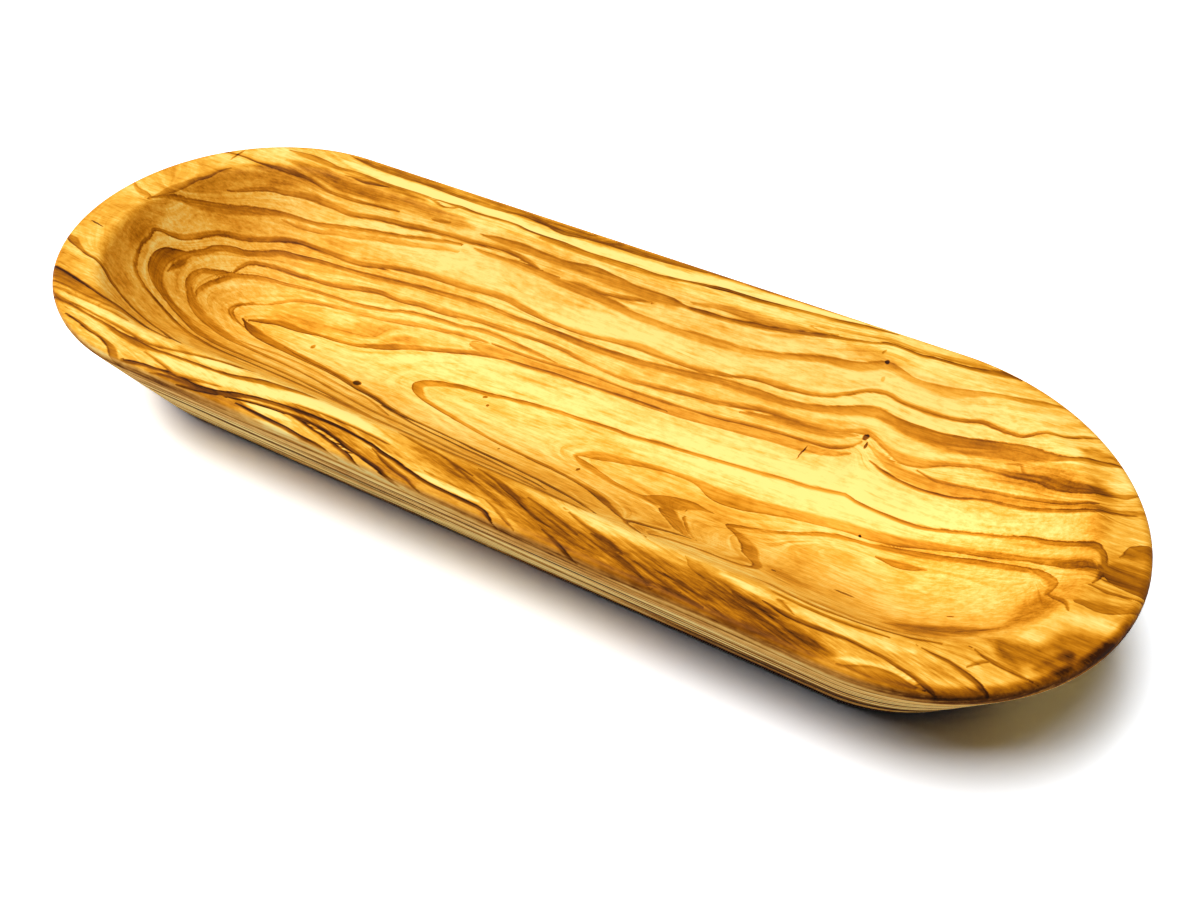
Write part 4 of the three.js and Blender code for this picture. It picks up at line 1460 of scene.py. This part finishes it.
@dataclass
class CarvedBowl:
    """The bowl as one swept skin: a profile of inset and height carried round a stadium plan.

    Sizes are in millimetres. Length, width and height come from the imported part. A wave of the crest is its
    strength, how often it goes round and its phase, and the crease's place is a point on its line.
    """

    length: float
    width: float
    height: float
    foot_inset: float = 25.0
    foot_round: float = 7.0
    lip_band: float = 4.5
    lip_top_round: float = 2.6
    lip_under_round: float = 1.5
    rim_width: float = 16.5
    crest_round: float = 2.6
    hollow_depth: float = 34.0
    hollow_wall_angle: float = 44.0
    hand_wander: float = 0.9
    hand_waves: tuple[Station, ...] = ((0.6, 2, 2.2), (0.4, 5, 0.4), (0.25, 9, 1.3))
    crease_depth: float = 0.5
    crease_width: float = 3.6
    crease_place: Point = (107.5, 16.0)
    crease_slope: float = 0.1
    crease_start: Span = (12.0, 22.0)
    crease_end: Span = (62.0, 56.0)
    end_steps: int = 140
    side_steps: int = 130
    base_rows: int = 6
    foot_rows: int = 7
    wall_rows: int = 18
    under_rows: int = 4
    top_rows: int = 7
    rim_rows: int = 22
    crest_rows: int = 9
    hollow_rows: int = 104
    fine_rows: int = 1040
    merge_digits: int = 4
    wall_tone: float = 0.18
    # Painted shade at the foot of the wall and low on its near right end, where it meets the floor.
    foot_shade_tone: float = 0.95
    low_wall_shade_tone: float = 0.95
    # Painted shade along the lip's rounding, most at the near side of the end towards +X.
    lip_shade_tone: float = 0.14
    lip_shade_end_tone: float = 0.5
    zones: Zones = Zones()
    wood: OliveWood = OliveWood()

    @classmethod
    def from_frame(cls) -> "CarvedBowl":
        """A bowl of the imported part's size."""
        low, high = (np.asarray(corner, dtype=float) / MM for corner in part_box("bowl"))
        length, width, height = high - low
        return cls(float(length), float(width), float(height))

    @property
    def half_width(self) -> float:
        """Half the width."""
        return self.width / 2

    @property
    def spine_half(self) -> float:
        """Half the length of the line that joins the centres of the two ends."""
        return self.length / 2 - self.half_width

    @staticmethod
    def rounded(corner: Array, before: Array, after: Array, setback: float, count: int) -> Array:
        """A quadratic curve that rounds a corner.

        It leaves the line from the point before one setback ahead of the corner, and ends one setback
        past it on the line to the point after.

        Args:
            corner: The corner.
            before: A point on the way in.
            after: A point on the way out.
            setback: How far from the corner the curve starts and ends.
            count: Number of points.

        Returns:
            Points of the curve, one row each.
        """
        start = corner + setback * (before - corner) / np.linalg.norm(before - corner)
        end = corner + setback * (after - corner) / np.linalg.norm(after - corner)
        return bend(start, corner, end, count)

    @staticmethod
    def stretch(start: Array, end: Array, count: int) -> Array:
        """Evenly spaced points on a straight line, without its last one."""
        t = np.linspace(0, 1, count)[:-1, None]
        return start + (end - start) * t

    def hollow(self, start: Array, toe: Array, floor: Array) -> Array:
        """Evenly spaced points down the hollow, on a quadratic curve that leans towards the toe.

        They are read off a finer row of points by the way along it.

        Args:
            start: Where the crest's rounding ends.
            toe: Where the wall's slope would meet the floor.
            floor: The floor's spine.

        Returns:
            The points, one row each.
        """
        fine = bend(start, toe, floor, self.fine_rows)
        way = np.append(0, np.cumsum(np.linalg.norm(np.diff(fine, axis=0), axis=1)))
        stops = np.linspace(0, way[-1], self.hollow_rows)
        return np.column_stack([np.interp(stops, way, fine[:, 0]), np.interp(stops, way, fine[:, 1])])

    def profile(self) -> tuple[Array, int]:
        """Inset and height from the spine of the base, over the lip, to the spine of the hollow.

        Straight stretches join rounded corners, and the hollow is one quadratic curve that starts at
        the wall's angle and ends level on the spine.

        Returns:
            The points, and the number of those that lie outside the flat rim.
        """
        floor_height = self.height - self.hollow_depth
        run = self.hollow_depth / math.tan(math.radians(self.hollow_wall_angle))
        base = np.array([self.half_width, 0.0])
        foot = np.array([self.foot_inset, 0.0])
        under = np.array([0.0, self.height - self.lip_band])
        top = np.array([0.0, self.height])
        crest = np.array([self.rim_width, self.height])
        toe = np.array([self.rim_width + run, floor_height])
        floor = np.array([self.half_width, floor_height])

        foot_curve = self.rounded(foot, base, under, self.foot_round, self.foot_rows)
        under_curve = self.rounded(under, foot, top, self.lip_under_round, self.under_rows)
        top_curve = self.rounded(top, under, crest, self.lip_top_round, self.top_rows)
        crest_curve = self.rounded(crest, top, toe, self.crest_round, self.crest_rows)
        outer = [self.stretch(base, foot_curve[0], self.base_rows), foot_curve,
                 self.stretch(foot_curve[-1], under_curve[0], self.wall_rows)[1:], under_curve[1:]]
        upper = [top_curve, self.stretch(top_curve[-1], crest_curve[0], self.rim_rows)[1:], crest_curve[1:],
                 self.hollow(crest_curve[-1], toe, floor)[1:]]
        edge_count = sum(len(points) for points in outer) + len(top_curve) - 1
        return np.concatenate(outer + upper), edge_count

    def stations(self) -> tuple[Array, Array]:
        """Places round the plan, anticlockwise from above.

        Each has an anchor on the spine and a level direction to the lip: fixed anchors with turning
        directions at the ends, moving anchors with fixed directions along the sides.

        Returns:
            Anchors along x, and directions, one row each.
        """
        turn = np.linspace(-0.5, 0.5, self.end_steps + 1) * math.pi
        glide = np.linspace(1, -1, self.side_steps + 1)[1:-1] * self.spine_half
        angles = np.concatenate([turn, np.full(len(glide), math.pi / 2), turn + math.pi,
                                 np.full(len(glide), -math.pi / 2)])
        anchors = np.concatenate([np.full(len(turn), self.spine_half), glide,
                                  np.full(len(turn), -self.spine_half), -glide])
        return anchors, np.column_stack([np.cos(angles), np.sin(angles)])

    def wander(self, inset: Array, around: Array) -> Array:
        """How far a hand-cut crest strays from the even line.

        Slow waves round the plan, strongest at the crest and fading to nothing at the lip and at the
        spine.

        Args:
            inset: Insets of the profile in millimetres.
            around: Way round the plan, 0 to 1, one row each.

        Returns:
            Extra inset for every place round the plan and point of the profile.
        """
        turns = 2 * math.pi * around[:, None]
        waves = sum(strength * np.sin(turns * count + phase) for strength, count, phase in self.hand_waves)
        rise = np.clip((inset - self.lip_top_round) / (self.rim_width - self.lip_top_round), 0, 1)
        fall = np.clip((self.half_width - inset) / (self.half_width - self.rim_width), 0, 1)
        return self.hand_wander * waves * rise * fall

    def crease(self, x: Array, y: Array) -> Array:
        """Depth of the shallow crease that runs down the far side of the hollow through the pin knot.

        A bell across a nearly straight line, fading out before the crest and before the floor's middle.

        Args:
            x: Places along the bowl.
            y: Places across it.

        Returns:
            How far the surface sinks.
        """
        along, across = self.crease_place
        aside = (x - along + self.crease_slope * (y - across)) / self.crease_width
        ends = smooth(y, *self.crease_start) * smooth(y, *self.crease_end)
        return self.crease_depth * np.exp(-aside**2) * ends

    def skin(self) -> tuple[Array, Array, dict[str, Array]]:
        """Points, quads and figure values of the whole skin.

        A point is its anchor plus its direction times what the inset leaves of the half-width, at the
        profile's height less the depth of the crease.

        Returns:
            Points in millimetres, corner numbers of the quads, and values at the points by name.
        """
        profile, edge_count = self.profile()
        anchors, outward = self.stations()
        columns, rows = len(anchors), len(profile)
        around = np.arange(columns) / columns
        upper = np.arange(rows) >= edge_count
        inset = profile[None, :, 0] + np.where(upper, self.wander(profile[None, :, 0], around), 0.0)
        reach = self.half_width - inset
        x = anchors[:, None] + outward[:, None, 0] * reach
        y = outward[:, None, 1] * reach
        z = profile[None, :, 1] - np.where(upper, self.crease(x, y), 0.0)
        points = np.stack([x, y, z], axis=-1).reshape(-1, 3)

        column, row = np.meshgrid(np.arange(columns), np.arange(rows - 1), indexing="ij")
        beside = (column + 1) % columns
        quads = np.stack([column * rows + row, beside * rows + row, beside * rows + row + 1,
                          column * rows + row + 1], axis=-1).reshape(-1, 4)
        values = self.figure(x, y, profile, edge_count, anchors, outward)
        # The painted shade along the lip joins the stains.
        values["stain_and_painted_light"] += self.lip_shade(inset, profile[:, 1], x, y)
        return points, quads, {name: value.reshape(-1) for name, value in values.items()}

    def figure(self, x: Array, y: Array, profile: Array, edge_count: int, anchors: Array,
               outward: Array) -> dict[str, Array]:
        """Values of the figure at every point of the skin.

        The top takes them from its own place on the plan. Below the flat rim the plan is unrolled over
        the lip: the place is that of the rim's outer edge moved outwards by the way down from it, and the
        figure fades to the rings of the block, which the wall cuts across and the base along.

        Args:
            x: Places along the bowl.
            y: Places across it.
            profile: Inset and height of the profile.
            edge_count: Number of profile points outside the flat rim.
            anchors: Anchors of the stations.
            outward: Directions of the stations.

        Returns:
            Arrays like x, by name.
        """
        zones = self.zones
        steps = np.linalg.norm(np.diff(profile[:edge_count + 1], axis=0), axis=1)
        way = np.append(np.cumsum(steps[::-1])[::-1], np.zeros(len(profile) - edge_count))
        drop = np.broadcast_to(way, x.shape)
        height = profile[None, :, 1]
        below = drop > 0
        reach = self.half_width - self.lip_top_round
        edge_x = anchors[:, None] + outward[:, None, 0] * reach
        edge_y = outward[:, None, 1] * reach
        plan_x = np.where(below, edge_x + outward[:, None, 0] * drop, x)
        plan_y = np.where(below, edge_y + outward[:, None, 1] * drop, y)

        near_rim = smooth(-y, *zones.near_rim)
        near_end = smooth(x, *zones.end_along) * smooth(-y, *zones.end_across)
        trace = zones.trace * (1 - smooth(drop, *zones.trace_end))
        on_lip = np.maximum(1 - smooth(drop, *zones.ribbons_end), trace)
        from_foot = drop - way[(way > 0) & (profile[:, 1] > 0)].max()
        rings = zones.faint_rings + (1 - zones.faint_rings) * smooth(drop, *zones.rings_full)
        rings = rings * smooth(drop, *zones.rings_start) * smooth(np.abs(from_foot), *zones.off_foot)
        across_block = np.hypot(zones.ring_flat * y, height + zones.ring_lift) + zones.ring_tilt * x
        # Washes and patches: stains, with painted shade inside the crest and a painted sheen on the far wall
        stain_and_painted_light = RibbonLayer(WASHES).wash(plan_x, plan_y) + self.patches(plan_x, plan_y)
        chart = GrowthMap(self.length / 2, self.half_width)
        values = {
            "level": chart.at(np.where(below, edge_x, x), np.where(below, edge_y, y)),
            "figured": (1 - smooth(drop, *zones.streaks_end)) * (1 - np.maximum(near_rim, near_end)),
            "slanted": (1 - smooth(drop, *zones.slant_end)) * near_rim,
            "bare": smooth(drop, *zones.bare),
            "ring": np.where(height > 0, across_block, y),
            "grain": rings,
            "stain_and_painted_light": stain_and_painted_light * on_lip + self.wall_ground_and_shade(drop, from_foot, x, y),
        }
        for layer, ribbons in ((Layer.BAND, BANDS), (Layer.STROKE, STROKES)):
            for name, value in RibbonLayer(ribbons).nearest(plan_x, plan_y).items():
                values[f"{layer.value}_{name}"] = value
            values[f"{layer.value}_ink"] *= on_lip
        return values

    def wall_ground_and_shade(self, drop: Array, from_foot: Array, x: Array, y: Array) -> Array:
        """Ground of the outer wall, paler half-way down, with painted shade at the foot and low on the near
        right.

        Args:
            drop: Way down from the rim.
            from_foot: The same, measured from where the wall ends.
            x: Places along the bowl.
            y: Places across it.

        Returns:
            Extra tone, painted shade included.
        """
        zones = self.zones
        near_right = smooth(x, *zones.right_along) * smooth(-y, *zones.right_across)
        wall = smooth(drop, *zones.wall_start) * (1 - zones.paling * smooth(drop, *zones.wall_pale))
        # Painted shade darkens the foot and the low wall at the near right.
        return (self.wall_tone * wall + self.foot_shade_tone * smooth(from_foot, *zones.foot)
                + self.low_wall_shade_tone * near_right * smooth(from_foot, *zones.low_wall))

    def lip_shade(self, inset: Array, height: Array, x: Array, y: Array) -> Array:
        """Painted shade along the lip's rounding, where the top turns down to the wall, most at the near side
        of the end towards +X.

        Args:
            inset: Insets of the skin's points.
            height: Heights of the profile's points.
            x: Places along the bowl.
            y: Places across it.

        Returns:
            Extra tone of painted shade.
        """
        zones = self.zones
        near_lip = smooth(inset, *zones.lip_shade_inset) * smooth(height - self.height, *zones.lip_shade_height)
        near_end = smooth(x, *zones.lip_shade_along) * smooth(y, *zones.lip_shade_across)
        return near_lip * (self.lip_shade_tone + self.lip_shade_end_tone * near_end)

    @staticmethod
    def patches(x: Array, y: Array) -> Array:
        """Sum of the broad patches, each a flat-topped bell over an ellipse: stains, and one painted sheen.

        Args:
            x: Places along the bowl.
            y: Places across it.

        Returns:
            Their sum.
        """
        total = np.zeros(x.shape)
        for patch in STAINS_AND_SHEEN:
            along = (x - patch.centre[0]) / patch.radii[0]
            across = (y - patch.centre[1]) / patch.radii[1]
            total += patch.depth * np.exp(-(along**2 + across**2) ** 2)
        return total

    def build(self) -> bpy.types.Object:
        """Make the bowl's object, dress it and put it in the place of the CAD node.

        Points that fall together on the two spines become one, and quads that lose a side there
        become triangles.

        Returns:
            The object.
        """
        points, quads, values = self.skin()
        kept = np.round(points, self.merge_digits)
        _, first, number = np.unique(kept, axis=0, return_index=True, return_inverse=True)
        quads = number.reshape(-1)[quads]
        doubled = quads == np.roll(quads, -1, axis=1)
        whole = quads[~doubled.any(axis=1)]
        thin = doubled.sum(axis=1) == 1
        triangles = quads[thin][~doubled[thin]].reshape(-1, 3)

        mesh = bpy.data.meshes.new("carved_bowl")
        mesh.from_pydata((points[first] * MM).tolist(), [], whole.tolist() + triangles.tolist())
        for name, value in values.items():
            layer = mesh.attributes.new(name, "FLOAT", "POINT")
            layer.data.foreach_set("value", value[first].astype(np.float32))
        mesh.polygons.foreach_set("use_smooth", np.ones(len(mesh.polygons), dtype=bool))
        mesh.materials.append(self.wood.material())
        mesh.validate()
        bowl = bpy.data.objects.new("carved_bowl", mesh)
        bpy.context.scene.collection.objects.link(bowl)
        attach(bowl, "root")
        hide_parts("bowl")
        return bowl


@dataclass
class Studio:
    """Pale floor, soft light and the camera at the viewing angle.

    Lengths are in millimetres. The camera's places are given from the middle of the rim's plane.
    """

    rim_height: float
    eye: Station = (140.7, -245.4, 245.5)
    aim: Station = (36.9, -31.7, 0.0)
    roll: float = 0.042
    lens: float = 32.52
    sensor: float = 36.0
    nearest_seen: float = 10.0
    floor_reach: float = 1000.0
    floor_gap: float = 0.2
    floor_colour: Colour = (0.78, 0.78, 0.78)
    floor_seen: Colour = (1.68, 1.75, 1.85)
    lamp_place: Station = (-1800.0, -800.0, 5000.0)
    lamp_size: float = 3400.0
    lamp_watts: float = 384.0
    fill: float = 0.01

    def camera(self) -> bpy.types.Object:
        """Make the camera: it looks from eye to aim, turned about its axis by roll.

        Returns:
            The camera.
        """
        lift = Vector((0.0, 0.0, self.rim_height))
        eye, aim = Vector(self.eye) + lift, Vector(self.aim) + lift
        ahead = (aim - eye).normalized()
        level = ahead.cross(Vector((0, 0, 1))).normalized()
        upright = level.cross(ahead)
        right = math.cos(self.roll) * level + math.sin(self.roll) * upright
        up = math.cos(self.roll) * upright - math.sin(self.roll) * level
        data = bpy.data.cameras.new("view")
        data.lens = self.lens
        data.sensor_width = self.sensor
        data.sensor_fit = "HORIZONTAL"
        data.clip_start = self.nearest_seen * MM
        view = bpy.data.objects.new("view", data)
        view.matrix_world = Matrix.Translation(eye * MM) @ Matrix((right, up, -ahead)).transposed().to_4x4()
        bpy.context.scene.collection.objects.link(view)
        bpy.context.scene.camera = view
        return view

    def floor(self) -> bpy.types.Object:
        """Make the floor, a wide plain sheet just under the bowl.

        Returns:
            The floor.
        """
        corners = np.array([(-1, -1), (1, -1), (1, 1), (-1, 1)]) * self.floor_reach * MM
        points = np.column_stack([corners, np.full(len(corners), -self.floor_gap * MM)])
        mesh = bpy.data.meshes.new("floor")
        mesh.from_pydata(points.tolist(), [], [(0, 1, 2, 3)])
        graph = Graph(bpy.data.materials.new("floor_paint"))
        colour = graph.mix(graph.seen(), self.floor_colour, self.floor_seen)
        sheet = graph.node("ShaderNodeBsdfDiffuse", {}, {"Color": colour})
        mesh.materials.append(graph.finish(sheet))
        floor = bpy.data.objects.new("floor", mesh)
        bpy.context.scene.collection.objects.link(floor)
        return floor

    def lamp(self) -> bpy.types.Object:
        """Make a soft square lamp overhead that shines at the bowl.

        Returns:
            The lamp.
        """
        place = Vector(self.lamp_place) * MM
        data = bpy.data.lights.new("overhead", "AREA")
        data.shape = "SQUARE"
        data.size = self.lamp_size * MM
        data.energy = self.lamp_watts
        lamp = bpy.data.objects.new("overhead", data)
        lamp.location = place
        lamp.rotation_euler = (-place).to_track_quat("-Z", "Y").to_euler()
        bpy.context.scene.collection.objects.link(lamp)
        return lamp

    def world(self) -> bpy.types.World:
        """Make an even surround that looks white and gives only a little light.

        Returns:
            The world.
        """
        graph = Graph(bpy.data.worlds.new("surround"))
        strength = self.fill + graph.seen() * (1.0 - self.fill)
        sky = graph.node("ShaderNodeBackground", {}, {"Color": (1.0, 1.0, 1.0, 1.0), "Strength": strength})
        world = graph.finish(sky)
        bpy.context.scene.world = world
        return world

    def build(self) -> None:
        """Set up the whole studio."""
        self.camera()
        self.floor()
        self.world()
        self.lamp()


def main() -> None:
    """Build the bowl and its studio, and report each piece."""
    logging.basicConfig(level=logging.INFO, format="%(message)s")
    bowl_form = CarvedBowl.from_frame()
    bowl = bowl_form.build()
    log.info("%s: %d points, %d faces", bowl.name, len(bowl.data.vertices), len(bowl.data.polygons))
    Studio(rim_height=bowl_form.height).build()
    bpy.context.scene.view_settings.view_transform = "Standard"


if __name__ == "__main__":
    main()
